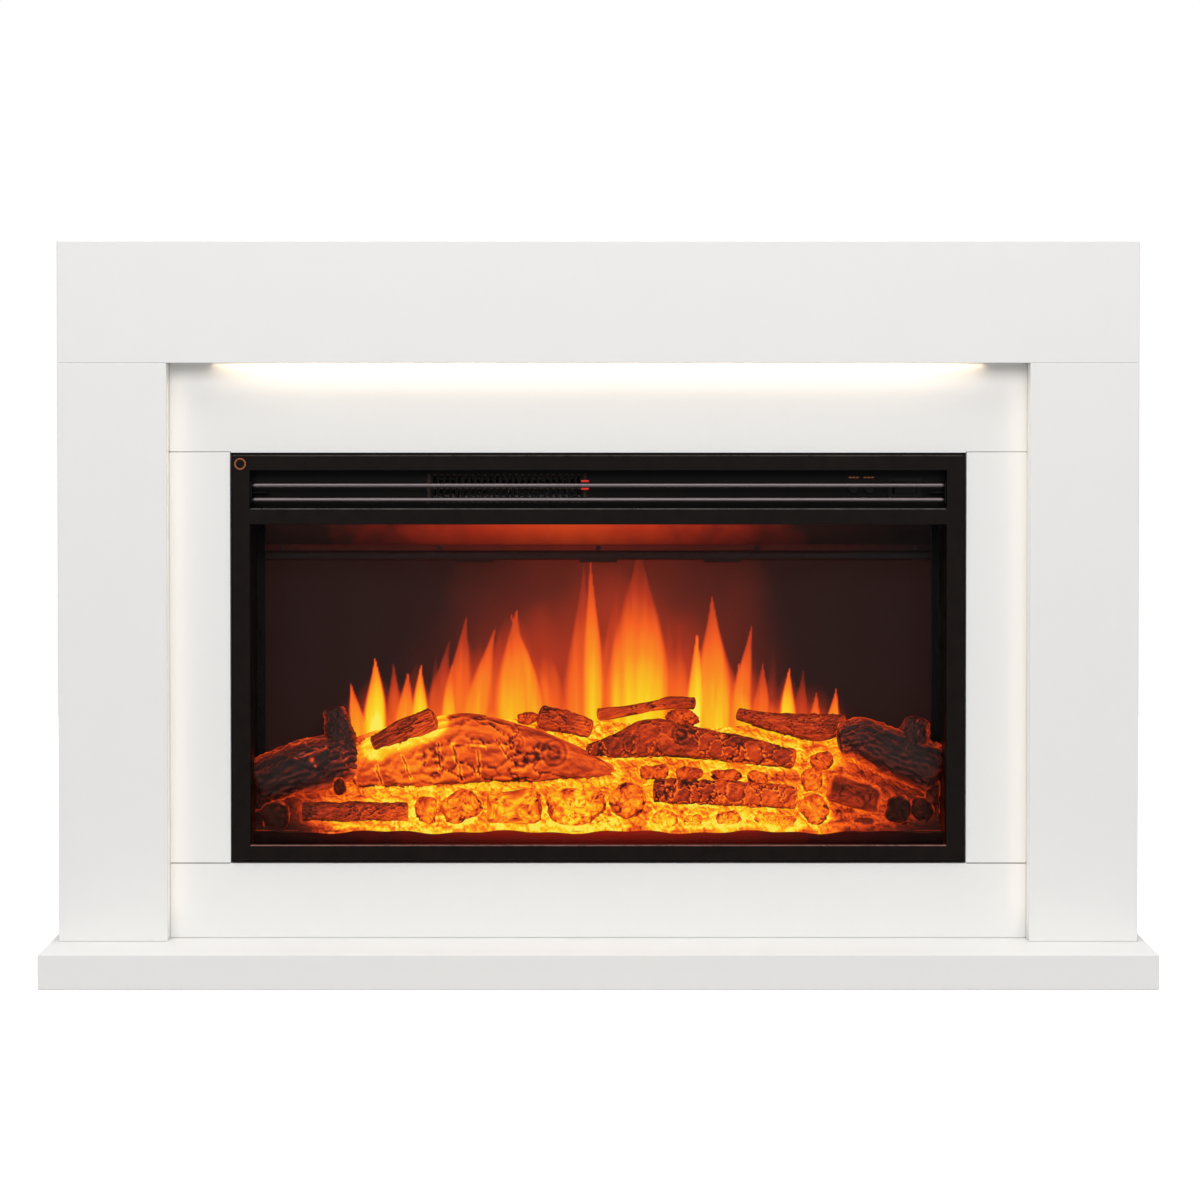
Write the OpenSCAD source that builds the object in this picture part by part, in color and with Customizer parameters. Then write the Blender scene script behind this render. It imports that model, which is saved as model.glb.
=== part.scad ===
// Freestanding electric fireplace suite: a board surround with a built-in
// electric fire. X runs along the width, -Y is the front, +Z is up, and all
// sizes are in millimetres. The origin is the middle of the floor footprint.

/* [Surround] */
// Width over the two legs and the mantel
surround_w = 1240; // [900:10:1600]
// Depth from the front of the plinth to the wall
plinth_d = 310; // [250:5:400]
// Height of the plinth
plinth_h = 40; // [25:1:80]
// How far the plinth passes each leg at the side
plinth_side_step = 10; // [0:1:40]
// How far the plinth stands in front of the legs
plinth_overhang = 95; // [40:5:140]
// Height of the legs
leg_h = 665; // [520:5:900]
// Width of each leg
leg_w = 125; // [80:5:180]
// Height of the mantel box
mantel_h = 140; // [60:5:200]
// Thickness of every board
board_t = 15; // [9:1:25]
// Setback of the inner panels behind the leg fronts
panel_set = 28; // [15:1:60]
// Height of the panel above the fire
header_h = 102; // [60:1:160]
// Height of the panel below the fire
footer_h = 87; // [60:1:140]
// Width of the panels at each side of the fire
infill_w = 70; // [40:1:120]

/* [Lighting under the mantel] */
// Share of the bay between the legs that is lit
led_share = 0.9; // [0.5:0.01:0.96]
// Width of the light channel
led_channel_w = 12; // [10:1:16]
// Depth of the light channel
led_channel_h = 8; // [6:1:11]

/* [Fire front] */
// Gap between the trim and the panels
trim_gap = 1; // [0.5:0.1:4]
// How far the trim stands in front of the panels
trim_proud = 4; // [1:0.5:8]
// Depth of the folded trim
trim_t = 10; // [8:0.5:14]
// Width of the trim at the sides
trim_side = 22; // [16:0.5:40]
// Height of the trim above the air outlet
trim_top = 20.5; // [14:0.5:40]
// Height of the trim below the window
trim_bottom = 20.5; // [14:0.5:40]
// Height of the bar between window and air outlet
crossbar_h = 18.5; // [14:0.5:40]
// Height of the air outlet
slot_h = 44; // [40:0.5:60]
// Diameter of each louvre rail
rail_d = 5.2; // [3:0.1:7]
// Distance between the two louvre rails
rail_pitch = 16.6; // [12:0.1:22]
// Thickness of the glass
glass_t = 4; // [3:0.5:6]

/* [Heater and fan] */
// Width of the warm air outlet
outlet_w = 200; // [120:1:240]
// Radius of the fan impeller
impeller_r = 20; // [14:0.5:21]
// Number of impeller blades
blade_count = 20; // [12:1:30]
// Radius of the fan shaft
fan_shaft_r = 3; // [2:0.1:4]

/* [Controls] */
// Diameter of each push button
button_d = 10; // [7:0.1:12]
// Travel of each push button
button_travel = 1.5; // [0.8:0.1:2]
// Distance between the push buttons
button_pitch = 19; // [16:0.5:30]
// Width of the rocker switch bezel
switch_w = 38; // [34:0.5:44]
// Height of the rocker switch bezel
switch_h = 23; // [20:0.5:26]
// Tilt of the rocker to each side
rocker_tilt = 8; // [5:0.5:10]

/* [Flame effect] */
// Radius of the spinner shaft
spin_shaft_r = 2.5; // [2:0.1:4]
// Radius of the spinner vanes
vane_r = 18; // [12:0.5:20]
// Number of spinner vanes
vane_count = 22; // [12:1:36]

/* [Fits] */
// Radial clearance of shafts and pivot pins in their bores
run_fit = 0.05; // [0.02:0.01:0.1]
// Radial clearance of screws in their holes
screw_fit = 0.1; // [0.05:0.05:0.5]
// Clearance round the push buttons
button_fit = 0.35; // [0.3:0.05:0.8]

/* [Hidden] */
$fn = 48;
half_w = surround_w / 2;
plinth_w = surround_w + 2 * plinth_side_step;
front_y = -plinth_d / 2;
back_y = plinth_d / 2;
leg_y = front_y + plinth_overhang;
panel_y = leg_y + panel_set;
panel_back = panel_y + board_t;
leg_z = plinth_h + leg_h;
top_z = leg_z + mantel_h;
bay = half_w - leg_w;
// fire opening and trim
open_w = bay - infill_w;
open_z0 = plinth_h + footer_h;
open_z1 = leg_z - header_h;
trim_w = open_w - trim_gap;
trim_z0 = open_z0 + trim_gap;
trim_z1 = open_z1 - trim_gap;
trim_y = panel_y - trim_proud;
trim_back = trim_y + trim_t;
win_w = trim_w - trim_side;
win_z0 = trim_z0 + trim_bottom;
slot_z1 = trim_z1 - trim_top;
slot_z0 = slot_z1 - slot_h;
win_z1 = slot_z0 - crossbar_h;
slot_z = (slot_z0 + slot_z1) / 2;
glass_back = trim_back + glass_t;
// steel case of the fire
steel_t = 1;
case_w = win_w + 10;
case_z0 = trim_z0 + 6;
case_z1 = trim_z1 - 6;
case_front = trim_y + 1.5;
case_back = back_y - 25;
shelf_z = win_z1 + 9;
// widths and depths inside the case follow the case
kx = open_w / 425;
ky = (case_back - glass_back) / 152;
function dx(v) = v * kx;
function dy(v) = glass_back + (v + 22) * ky;
floor_z = case_z0 + steel_t;
// plate with the controls and the air outlet
fascia_y = glass_back + 8 * min(ky, 1);
fascia_t = 2;
fascia_back = fascia_y + fascia_t;
outlet_x0 = -dx(106) - outlet_w / 2;
outlet_x1 = outlet_x0 + outlet_w;
outlet_z0 = slot_z - 18;
outlet_z1 = slot_z + 20;
// controls
button_x2 = win_w - 88;
button_x1 = button_x2 - button_pitch;
button_z = slot_z + 0.5;
switch_x = win_w - 47;
switch_z = slot_z + 1.5;
pivot_y = fascia_y + 1.5;
pivot_r = 1.5;
rail_y = trim_y + 5;
rail_z1 = slot_z + 4.6;
rail_z2 = rail_z1 - rail_pitch;
rail_end = win_w - 5;
// fan
fan_y = dy(62);
fan_z = slot_z + 1;
fan_x0 = outlet_x0 + 4;
fan_x1 = outlet_x1 - 4;
motor_r = 21;
// flame effect and log bed
rail_plate_y = dy(57);
screen_y = rail_plate_y + 2;
screen_t = 3;
bed_y0 = dy(-14);
bed_z = floor_z + 15;
step1 = floor_z + 33;
step2 = floor_z + 51;
step3 = floor_z + 101;
zone1 = dy(11.5);
zone2 = dy(40.5);
bed_front = bed_y0 + 3;
bed_back = rail_plate_y - 0.5;
row1 = (bed_front + zone1) / 2;
row2 = (zone1 + zone2) / 2;
row3 = (zone2 + bed_back) / 2;
row1_r = (zone1 - bed_front) / 2 - 0.4;
row2_r = (zone2 - zone1) / 2 - 0.4;
row3_r = (bed_back - zone2) / 2 - 0.4;
spin_y = (screen_y + screen_t + case_back) / 2;
spin_z = floor_z + 65;
led_half = bay * led_share;
led_y = leg_y + board_t + 0.5;
bracket_x = 300 * half_w / 620;
bracket_z = leg_z - 25;
screw_r = 3.4;
shelf_mid = case_z0 - board_t / 2;

// ---- shared shapes

module box(x0, x1, y0, y1, z0, z1) {
    translate([x0, y0, z0])
        cube([x1 - x0, y1 - y0, z1 - z0]);
}

module rect(x0, x1, y0, y1) {
    translate([x0, y0])
        square([x1 - x0, y1 - y0]);
}

// a drawing in Y and Z, drawn out along X
module bar_x(x0, x1) {
    translate([x0, 0, 0])
        rotate([90, 0, 90])
            linear_extrude(x1 - x0)
                children();
}

// a drawing in X and Z, drawn out along Y
module bar_y(y0, y1) {
    translate([0, y1, 0])
        rotate([90, 0, 0])
            linear_extrude(y1 - y0)
                children();
}

module rod_x(x0, x1, y, z, r) {
    translate([x0, y, z])
        rotate([0, 90, 0])
            cylinder(h = x1 - x0, r = r);
}

module rod_y(y0, y1, x, z, r) {
    translate([x, y0, z])
        rotate([-90, 0, 0])
            cylinder(h = y1 - y0, r = r);
}

module rod_z(z0, z1, x, y, r) {
    translate([x, y, z0])
        cylinder(h = z1 - z0, r = r);
}

module both_sides() {
    children();
    mirror([1, 0, 0])
        children();
}

// ---- surround

module plinth_top() {
    t = board_t;
    color("white")
        intersection() {
            bar_x(-plinth_w / 2, plinth_w / 2)
                polygon([[front_y, plinth_h], [back_y, plinth_h],
                    [back_y, plinth_h - t], [front_y + t, plinth_h - t]]);
            bar_y(front_y, back_y)
                polygon([[-plinth_w / 2, plinth_h], [plinth_w / 2, plinth_h],
                    [plinth_w / 2 - t, plinth_h - t],
                    [-plinth_w / 2 + t, plinth_h - t]]);
        }
}

module plinth_front() {
    t = board_t;
    w = plinth_w / 2;
    color("white")
        intersection() {
            bar_x(-w, w)
                polygon([[front_y, 0], [front_y, plinth_h],
                    [front_y + t, plinth_h - t], [front_y + t, 0]]);
            linear_extrude(plinth_h)
                polygon([[-w, front_y], [w, front_y],
                    [w - t, front_y + t], [-w + t, front_y + t]]);
        }
}

module plinth_ends() {
    t = board_t;
    w = plinth_w / 2;
    color("white")
        both_sides()
            intersection() {
                bar_y(front_y, back_y)
                    polygon([[-w, 0], [-w, plinth_h],
                        [-w + t, plinth_h - t], [-w + t, 0]]);
                linear_extrude(plinth_h)
                    polygon([[-w, front_y], [-w, back_y],
                        [-w + t, back_y], [-w + t, front_y + t]]);
            }
}

module plinth_rear_rail() {
    w = plinth_w / 2 - board_t;
    color("white")
        box(-w, w, back_y - board_t, back_y, 0, plinth_h - board_t);
}

module leg_front(side) {
    t = board_t;
    x0 = side > 0 ? bay : -half_w;
    color("white")
        translate([0, 0, plinth_h])
            linear_extrude(leg_h)
                polygon([[x0, leg_y], [x0 + leg_w, leg_y],
                    [x0 + leg_w - t, leg_y + t], [x0 + t, leg_y + t]]);
}

module leg_sides(side) {
    t = board_t;
    color("white")
        mirror([side > 0 ? 0 : 1, 0, 0])
            difference() {
                translate([0, 0, plinth_h])
                    linear_extrude(leg_h) {
                        polygon([[half_w, leg_y], [half_w, back_y],
                            [half_w - t, back_y], [half_w - t, leg_y + t]]);
                        polygon([[bay, leg_y], [bay, back_y],
                            [bay + t, back_y], [bay + t, leg_y + t]]);
                    }
                for (y = [dy(20), dy(110)])
                    rod_x(bay - 1, bay + t + 1, y, shelf_mid,
                        screw_r + screw_fit);
            }
}

module left_leg_front() {
    leg_front(-1);
}

module left_leg_sides() {
    leg_sides(-1);
}

module right_leg_front() {
    leg_front(1);
}

module right_leg_sides() {
    leg_sides(1);
}

module mantel_slab(upper) {
    t = board_t;
    z0 = upper ? top_z : leg_z;
    z1 = upper ? top_z - t : leg_z + t;
    intersection() {
        bar_x(-half_w, half_w)
            polygon([[leg_y, z0], [back_y, z0],
                [back_y, z1], [leg_y + t, z1]]);
        bar_y(leg_y, back_y)
            polygon([[-half_w, z0], [half_w, z0],
                [half_w - t, z1], [-half_w + t, z1]]);
    }
}

module mantel_top() {
    color("white")
        mantel_slab(true);
}

module mantel_underside() {
    color("white")
        difference() {
            mantel_slab(false);
            box(-led_half, led_half, led_y, led_y + led_channel_w,
                leg_z - 1, leg_z + led_channel_h);
        }
}

module mantel_front() {
    t = board_t;
    color("white")
        intersection() {
            bar_x(-half_w, half_w)
                polygon([[leg_y, leg_z], [leg_y, top_z],
                    [leg_y + t, top_z - t], [leg_y + t, leg_z + t]]);
            translate([0, 0, leg_z])
                linear_extrude(mantel_h)
                    polygon([[-half_w, leg_y], [half_w, leg_y],
                        [half_w - t, leg_y + t], [-half_w + t, leg_y + t]]);
        }
}

module mantel_ends() {
    t = board_t;
    w = half_w;
    color("white")
        both_sides()
            intersection() {
                bar_y(leg_y, back_y)
                    polygon([[w, leg_z], [w, top_z],
                        [w - t, top_z - t], [w - t, leg_z + t]]);
                translate([0, 0, leg_z])
                    linear_extrude(mantel_h)
                        polygon([[w, leg_y], [w, back_y],
                            [w - t, back_y], [w - t, leg_y + t]]);
            }
}

module mantel_rear_rail() {
    w = half_w - board_t;
    color("white")
        box(-w, w, back_y - board_t, back_y, leg_z + board_t,
            top_z - board_t);
}

module header_panel() {
    color("white")
        box(-bay, bay, panel_y, panel_back, open_z1, leg_z);
}

module footer_panel() {
    color("white")
        box(-bay, bay, panel_y, panel_back, plinth_h, open_z0);
}

module left_infill_panel() {
    color("white")
        box(-bay, -open_w, panel_y, panel_back, open_z0, open_z1);
}

module right_infill_panel() {
    color("white")
        box(open_w, bay, panel_y, panel_back, open_z0, open_z1);
}

module support_shelf() {
    color("white")
        difference() {
            box(-bay, bay, panel_back, back_y, case_z0 - board_t, case_z0);
            both_sides()
                for (y = [dy(20), dy(110)])
                    rod_x(bay - 32, bay + 1, y, shelf_mid,
                        screw_r + screw_fit);
        }
}

// screws with wide heads that fix the shelf to the legs
module assembly_screws() {
    color("silver")
        both_sides()
            for (y = [dy(20), dy(110)])
                difference() {
                    union() {
                        rod_x(bay - 30, bay + board_t + 1, y, shelf_mid,
                            screw_r);
                        rod_x(bay + board_t, bay + board_t + 3, y,
                            shelf_mid, 7);
                    }
                    translate([bay + board_t + 1, y, shelf_mid])
                        rotate([0, 90, 0])
                            cylinder(h = 3, r = 2.3, $fn = 6);
                }
}

// angle brackets with a hole for a wall screw
module wall_brackets() {
    color("silver")
        for (s = [-1, 1])
            difference() {
                bar_x(s * bracket_x - 15, s * bracket_x + 15)
                    polygon([[back_y, leg_z], [back_y - 40, leg_z],
                        [back_y - 40, leg_z - 2], [back_y - 2, leg_z - 2],
                        [back_y - 2, leg_z - 45], [back_y, leg_z - 45]]);
                rod_y(back_y - 5, back_y + 5, s * bracket_x, bracket_z, 3);
            }
}

// ---- light strip under the mantel

module led_channel() {
    w = led_channel_w;
    color("silver")
        difference() {
            box(-led_half, led_half, led_y, led_y + w,
                leg_z, leg_z + led_channel_h);
            box(-led_half + 1, led_half - 1, led_y + 1, led_y + w - 1,
                leg_z - 1, leg_z + led_channel_h - 1);
        }
}

module led_strip() {
    y = led_y + led_channel_w / 2;
    z = leg_z + led_channel_h - 1;
    n = 30;
    color("white") {
        box(-led_half + 3, led_half - 3, y - 4, y + 4, z - 0.6, z);
        for (i = [0 : n - 1])
            translate([(i - (n - 1) / 2) * led_half * 2 / (n + 1), y, z - 1])
                cube([3, 3, 1], center = true);
    }
}

module led_diffuser() {
    color("lightyellow")
        box(-led_half + 1, led_half - 1, led_y + 1,
            led_y + led_channel_w - 1, leg_z, leg_z + 1.2);
}

// ---- front of the fire

module trim_outline(g) {
    difference() {
        rect(-trim_w + g, trim_w - g, trim_z0 + g, trim_z1 - g);
        children();
    }
}

module trim_frame() {
    w = 1.5;
    lip = 3;
    color("black")
        difference() {
            bar_y(trim_y, trim_back)
                rect(-trim_w, trim_w, trim_z0, trim_z1);
            // the outer lip lies a little behind the face
            bar_y(trim_y - 1, trim_y + lip)
                difference() {
                    rect(-trim_w - 1, trim_w + 1, trim_z0 - 1, trim_z1 + 1);
                    rect(-trim_w + lip, trim_w - lip, trim_z0 + lip,
                        trim_z1 - lip);
                }
            bar_y(trim_y - 1, trim_back + 1)
                rect(-win_w, win_w, win_z0, win_z1);
            bar_y(trim_y - 1, trim_back + 1)
                rect(-win_w, win_w, slot_z0, slot_z1);
            // hollow back of the folded steel
            bar_y(trim_y + w, trim_back + 1)
                difference() {
                    rect(-trim_w + lip + w, trim_w - lip - w,
                        trim_z0 + lip + w, trim_z1 - lip - w);
                    rect(-win_w - w, win_w + w, win_z0 - w, win_z1 + w);
                    rect(-win_w - w, win_w + w, slot_z0 - w, slot_z1 + w);
                }
        }
}

module louvre_rails() {
    r = rail_d / 2;
    color("gray")
        for (z = [rail_z1, rail_z2]) {
            rod_x(-rail_end + 3, rail_end - 3, rail_y, z, r);
            both_sides() {
                translate([rail_end - 3, rail_y, z])
                    rotate([0, 90, 0])
                        cylinder(h = 3, r1 = r, r2 = r * 0.6);
                rod_x(rail_end - 1, win_w - 2, rail_y, z, 1.2);
            }
        }
}

module rail_brackets() {
    color("black")
        both_sides() {
            box(win_w - 2, win_w - 0.5, rail_y - 2, fascia_y,
                rail_z2 - 4, rail_z1 + 4);
            box(win_w - 20, win_w - 1, rail_y + 6, fascia_y,
                rail_z2 + 7.5, rail_z2 + 9);
        }
}

module control_fascia() {
    color("black")
        difference() {
            bar_y(fascia_y, fascia_back)
                rect(-case_w + steel_t, case_w - steel_t,
                    shelf_z + steel_t, case_z1 - steel_t);
            bar_y(fascia_y - 1, fascia_back + 1)
                rect(outlet_x0, outlet_x1, outlet_z0, outlet_z1);
            for (x = [button_x1, button_x2])
                rod_y(fascia_y - 1, fascia_back + 1, x, button_z,
                    button_d / 2 + button_fit);
            bar_y(fascia_y - 1, fascia_back + 1)
                rect(switch_x - switch_w / 2 + 3,
                    switch_x + switch_w / 2 - 3,
                    switch_z - switch_h / 2 + 2.5,
                    switch_z + switch_h / 2 - 2.5);
        }
}

module outlet_grille() {
    pitch = 7.25;
    n = floor((outlet_w - 6) / pitch);
    color("black")
        difference() {
            bar_y(fascia_y, fascia_back)
                rect(outlet_x0, outlet_x1, outlet_z0, outlet_z1);
            for (i = [0 : n - 1])
                translate([(outlet_x0 + outlet_x1) / 2
                    + (i - (n - 1) / 2) * pitch - 2, fascia_y - 1,
                    outlet_z0 + 2])
                    cube([4, fascia_t + 2, outlet_z1 - outlet_z0 - 4]);
        }
}

// heating bars with folded fins between them
module heater_element() {
    x0 = outlet_x0 + 5;
    x1 = outlet_x1 - 5;
    y0 = fascia_back + 3;
    y1 = y0 + 11;
    z0 = outlet_z0 + 2;
    rows = 2;
    bar = 3;
    gap = (outlet_z1 - 2 - z0 - bar * (rows + 1)) / rows;
    n = 24;
    pitch = (x1 - x0 - 12) / n;
    color("silver") {
        box(x0, x0 + 7, y0, y1, z0, outlet_z1 - 2);
        box(x1 - 7, x1, y0, y1, z0, outlet_z1 - 2);
        for (k = [0 : rows])
            box(x0 + 6, x1 - 6, y0 + 1, y1 - 1,
                z0 + k * (gap + bar), z0 + k * (gap + bar) + bar);
        for (k = [0 : rows - 1])
            bar_y(y0 + 2, y1 - 2)
                translate([x0 + 6, z0 + bar - 0.3 + k * (gap + bar)])
                    polygon(concat(
                        [for (i = [0 : 2 * n])
                            [i * pitch / 2, i % 2 == 0 ? 0 : gap]],
                        [for (i = [2 * n : -1 : 0])
                            [i * pitch / 2, i % 2 == 0 ? 0.6 : gap + 0.6]]));
    }
}

module fan_housing() {
    r = impeller_r + 5;
    t = 1.2;
    y0 = fascia_back + 14;
    x0 = outlet_x0;
    x1 = outlet_x1;
    top = fan_z + r;
    low = fan_z - impeller_r - 2;
    color("dimgray") {
        bar_x(x0, x1) {
            // curved back of the fan channel
            difference() {
                translate([fan_y, fan_z])
                    circle(r = r + t);
                translate([fan_y, fan_z])
                    circle(r = r);
                polygon([[fan_y, fan_z], [fan_y, fan_z + 60],
                    [fan_y - 80, fan_z + 60], [fan_y - 80, fan_z - 60],
                    [fan_y + 30, fan_z - 60]]);
            }
            polygon([[y0, outlet_z1], [fan_y + 1, top],
                [fan_y + 1, top + t], [y0, outlet_z1 + t]]);
            polygon([[y0, outlet_z0], [fan_y - 14, low],
                [fan_y - 14, low - t], [y0, outlet_z0 - t]]);
        }
        for (x = [x0 - 2, x1])
            difference() {
                bar_x(x, x + 2)
                    polygon([[y0, outlet_z0 - 3], [y0, outlet_z1 + 3],
                        [fan_y, top + t + 2], [fan_y + r + 2, top],
                        [fan_y + r + 2, shelf_z + steel_t],
                        [y0 + 8, shelf_z + steel_t]]);
                rod_x(x - 1, x + 3, fan_y, fan_z, fan_shaft_r + run_fit);
            }
    }
}

module fan_impeller() {
    r = impeller_r;
    color("gray") {
        rod_x(outlet_x0 - 8, outlet_x1 + 20, fan_y, fan_z, fan_shaft_r);
        for (x = [fan_x0, (fan_x0 + fan_x1) / 2 - 0.75, fan_x1 - 1.5])
            rod_x(x, x + 1.5, fan_y, fan_z, r);
        for (i = [0 : blade_count - 1])
            translate([fan_x0 + 0.5, fan_y, fan_z])
                rotate([i * 360 / blade_count, 0, 0])
                    translate([0, 0, r - 6])
                        rotate([28, 0, 0])
                            cube([fan_x1 - fan_x0 - 1, 0.8, 5.6]);
    }
}

module fan_motor() {
    x0 = outlet_x1 + 2;
    color("darkgray")
        difference() {
            union() {
                rod_x(x0, x0 + 4, fan_y, fan_z, 9);
                rod_x(x0 + 4, x0 + 34, fan_y, fan_z, motor_r);
                box(x0 + 8, x0 + 30, fan_y - 10, fan_y + 10,
                    shelf_z + steel_t, fan_z);
            }
            rod_x(x0 - 1, x0 + 26, fan_y, fan_z, fan_shaft_r + run_fit);
        }
}

// ---- controls

module push_button(x) {
    r = button_d / 2;
    color("dimgray") {
        rod_y(fascia_y - 5, fascia_back + 0.6, x, button_z, r);
        rod_y(fascia_back + 0.1, fascia_back + 1.3, x, button_z, r + 1.6);
        rod_y(fascia_back + 1, fascia_back + 8, x, button_z, 1.6);
    }
}

module heat_button() {
    push_button(button_x1);
}

module flame_button() {
    push_button(button_x2);
}

module control_board() {
    y0 = fascia_back + 10;
    x0 = button_x1 - 18;
    x1 = button_x2 + 8;
    color("darkgreen") {
        box(x0, x1, y0, y0 + 1.6, slot_z - 16, slot_z + 20);
        for (x = [button_x1, button_x2])
            box(x - 3, x + 3, y0 - 0.4, y0 + 0.5,
                button_z - 3, button_z + 3);
        for (z = [slot_z - 12, slot_z + 16])
            rod_y(fascia_back, y0 + 0.5, x0 + 5, z, 2.5);
        box(x0 + 2, x0 + 14, y0 + 1, y0 + 12, slot_z - 8, slot_z + 8);
    }
}

module switch_body() {
    w = switch_w / 2;
    h = switch_h / 2;
    color("black")
        difference() {
            union() {
                bar_y(fascia_y - 2, fascia_y)
                    rect(switch_x - w, switch_x + w,
                        switch_z - h, switch_z + h);
                bar_y(fascia_y - 1, fascia_y + 20)
                    rect(switch_x - w + 3, switch_x + w - 3,
                        switch_z - h + 2.5, switch_z + h - 2.5);
                for (x = [switch_x - 8, switch_x, switch_x + 8])
                    box(x - 0.4, x + 0.4, fascia_y + 19, fascia_y + 27,
                        switch_z - 3, switch_z + 3);
            }
            bar_y(fascia_y - 3, pivot_y + 8)
                rect(switch_x - w + 4.7, switch_x + w - 4.7,
                    switch_z - h + 4.5, switch_z + h - 4.5);
            rod_z(switch_z - h + 3, switch_z + h - 3, switch_x, pivot_y,
                pivot_r + run_fit);
        }
}

module power_rocker() {
    w = switch_w / 2 - 6;
    h = switch_h / 2 - 4.5 - 0.3;
    color("dimgray")
        translate([switch_x, pivot_y, switch_z])
            rotate([0, 0, rocker_tilt]) {
                translate([0, 0, -h])
                    linear_extrude(2 * h)
                        polygon([[-w, 1], [-w, -5.2], [0, -3.6],
                            [w, -5.2], [w, 1], [4, 4.6], [-4, 4.6]]);
                rod_z(-switch_h / 2 + 3.4, switch_h / 2 - 3.4, 0, 0,
                    pivot_r);
            }
}

// ---- case of the fire

module glass_pane() {
    color([0.7, 0.75, 0.8, 0.35])
        box(-win_w - 3, win_w + 3, trim_back, glass_back,
            win_z0 - 5, win_z1 + 4);
}

module case_floor() {
    color("gray")
        box(-case_w, case_w, case_front, case_back, case_z0, floor_z);
}

module case_top() {
    color("gray")
        box(-case_w, case_w, case_front, case_back,
            case_z1 - steel_t, case_z1);
}

module case_sides() {
    t = steel_t;
    color("gray")
        both_sides()
            difference() {
                translate([0, 0, floor_z])
                    linear_extrude(case_z1 - t - floor_z)
                        polygon([[case_w, case_front], [case_w, case_back],
                            [case_w - 13, case_back],
                            [case_w - 13, case_back - t],
                            [case_w - t, case_back - t],
                            [case_w - t, case_front]]);
                for (z = cover_screw_z())
                    rod_y(case_back - 5, case_back + 5, case_w - 7, z,
                        1.5 + screw_fit);
            }
}

function cover_screw_z() = [case_z0 + 25, (case_z0 + case_z1) / 2,
    case_z1 - 25];

module case_rear_cover() {
    color("gray")
        difference() {
            bar_y(case_back, case_back + steel_t)
                rect(-case_w, case_w, case_z0, case_z1);
            for (s = [-1, 1])
                for (z = cover_screw_z())
                    rod_y(case_back - 5, case_back + 5,
                        s * (case_w - 7), z, 1.5 + screw_fit);
            // air inlet behind the fan
            for (i = [0 : 15])
                translate([(outlet_x0 + outlet_x1) / 2 - 92 + i * 12,
                    case_back - 1, slot_z - 16])
                    cube([4, steel_t + 2, 32]);
            // cooling slots low down
            for (s = [-1, 1])
                for (i = [0 : 7])
                    translate([s * dx(200) - 44 + i * 12, case_back - 1,
                        case_z0 + 14])
                        cube([4, steel_t + 2, 20]);
            rod_y(case_back - 5, case_back + 5, dx(330), case_z0 + 45,
                8 + screw_fit);
        }
}

module pan_screw(x, y, z, dir) {
    // head outside, shank inwards
    y0 = dir > 0 ? y : y - 1.8;
    s0 = dir > 0 ? y - 7 : y;
    difference() {
        union() {
            rod_y(y0, y0 + 1.8, x, z, 3);
            rod_y(s0, s0 + 7, x, z, 1.5);
        }
        bar_y(dir > 0 ? y + 0.9 : y - 2, dir > 0 ? y + 2 : y - 0.9) {
            rect(x - 1.8, x + 1.8, z - 0.35, z + 0.35);
            rect(x - 0.35, x + 0.35, z - 1.8, z + 1.8);
        }
    }
}

module case_screws() {
    color("silver") {
        for (s = [-1, 1])
            for (z = cover_screw_z())
                pan_screw(s * (case_w - 7), case_back + steel_t, z, 1);
        for (k = [-2 : 2])
            pan_screw(dx(187) * k, rail_plate_y, shelf_z - 40, -1);
    }
}

module mains_gland() {
    x = dx(330);
    z = case_z0 + 45;
    y0 = case_back + steel_t;
    color("black")
        difference() {
            union() {
                rod_y(y0 - 12, y0 + 1, x, z, 8);
                translate([x, y0 - 8, z])
                    rotate([-90, 0, 0])
                        cylinder(h = 7, r = 12, $fn = 6);
                rod_y(y0, y0 + 4, x, z, 12);
                translate([x, y0 + 4, z])
                    rotate([-90, 0, 0])
                        cylinder(h = 8, r1 = 10, r2 = 7);
            }
            rod_y(y0 - 13, y0 + 13, x, z, 3.8);
        }
}

module heater_shelf() {
    color("gray")
        box(-case_w + steel_t, case_w - steel_t, glass_back, case_back - 1,
            shelf_z, shelf_z + steel_t);
}

module side_liners() {
    color("black")
        both_sides()
            translate([0, 0, floor_z])
                linear_extrude(shelf_z - floor_z)
                    polygon([[win_w, glass_back + 1],
                        [case_w - steel_t, glass_back + 1],
                        [case_w - steel_t, glass_back + 3],
                        [win_w + 2, glass_back + 3],
                        [win_w + 2, rail_plate_y + 2],
                        [win_w - 9, rail_plate_y + 2],
                        [win_w - 9, rail_plate_y],
                        [win_w, rail_plate_y]]);
}

// ---- flame effect

module screen_rail() {
    z0 = shelf_z - 54;
    color("black")
        difference() {
            bar_y(rail_plate_y, rail_plate_y + 2) {
                rect(-win_w + 9, win_w - 9, z0, shelf_z);
                for (x = [-dx(145), 0, dx(146)])
                    rect(x - 22, x + 22, z0 - 3, z0 + 1);
            }
            for (k = [-2 : 2])
                rod_y(rail_plate_y - 5, rail_plate_y + 5, dx(187) * k,
                    shelf_z - 40, 1.5 + screw_fit);
        }
}

module flame_screen() {
    color("dimgray")
        box(-win_w + 2, win_w - 2, screen_y, screen_y + screen_t,
            bed_z + 1, shelf_z - 46);
}

module bed_tray() {
    y0 = bed_y0;
    y1 = rail_plate_y - 0.5;
    color("black")
        bar_x(-win_w + 1, win_w - 1)
            polygon([[y0, floor_z], [y0, bed_z + 12], [y0 + 2, bed_z + 12],
                [y0 + 2, bed_z + 1], [y1, bed_z + 1], [y1, floor_z],
                [y1 - 1, floor_z], [y1 - 1, bed_z], [y0 + 2, bed_z],
                [y0 + 2, floor_z]]);
}

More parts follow.
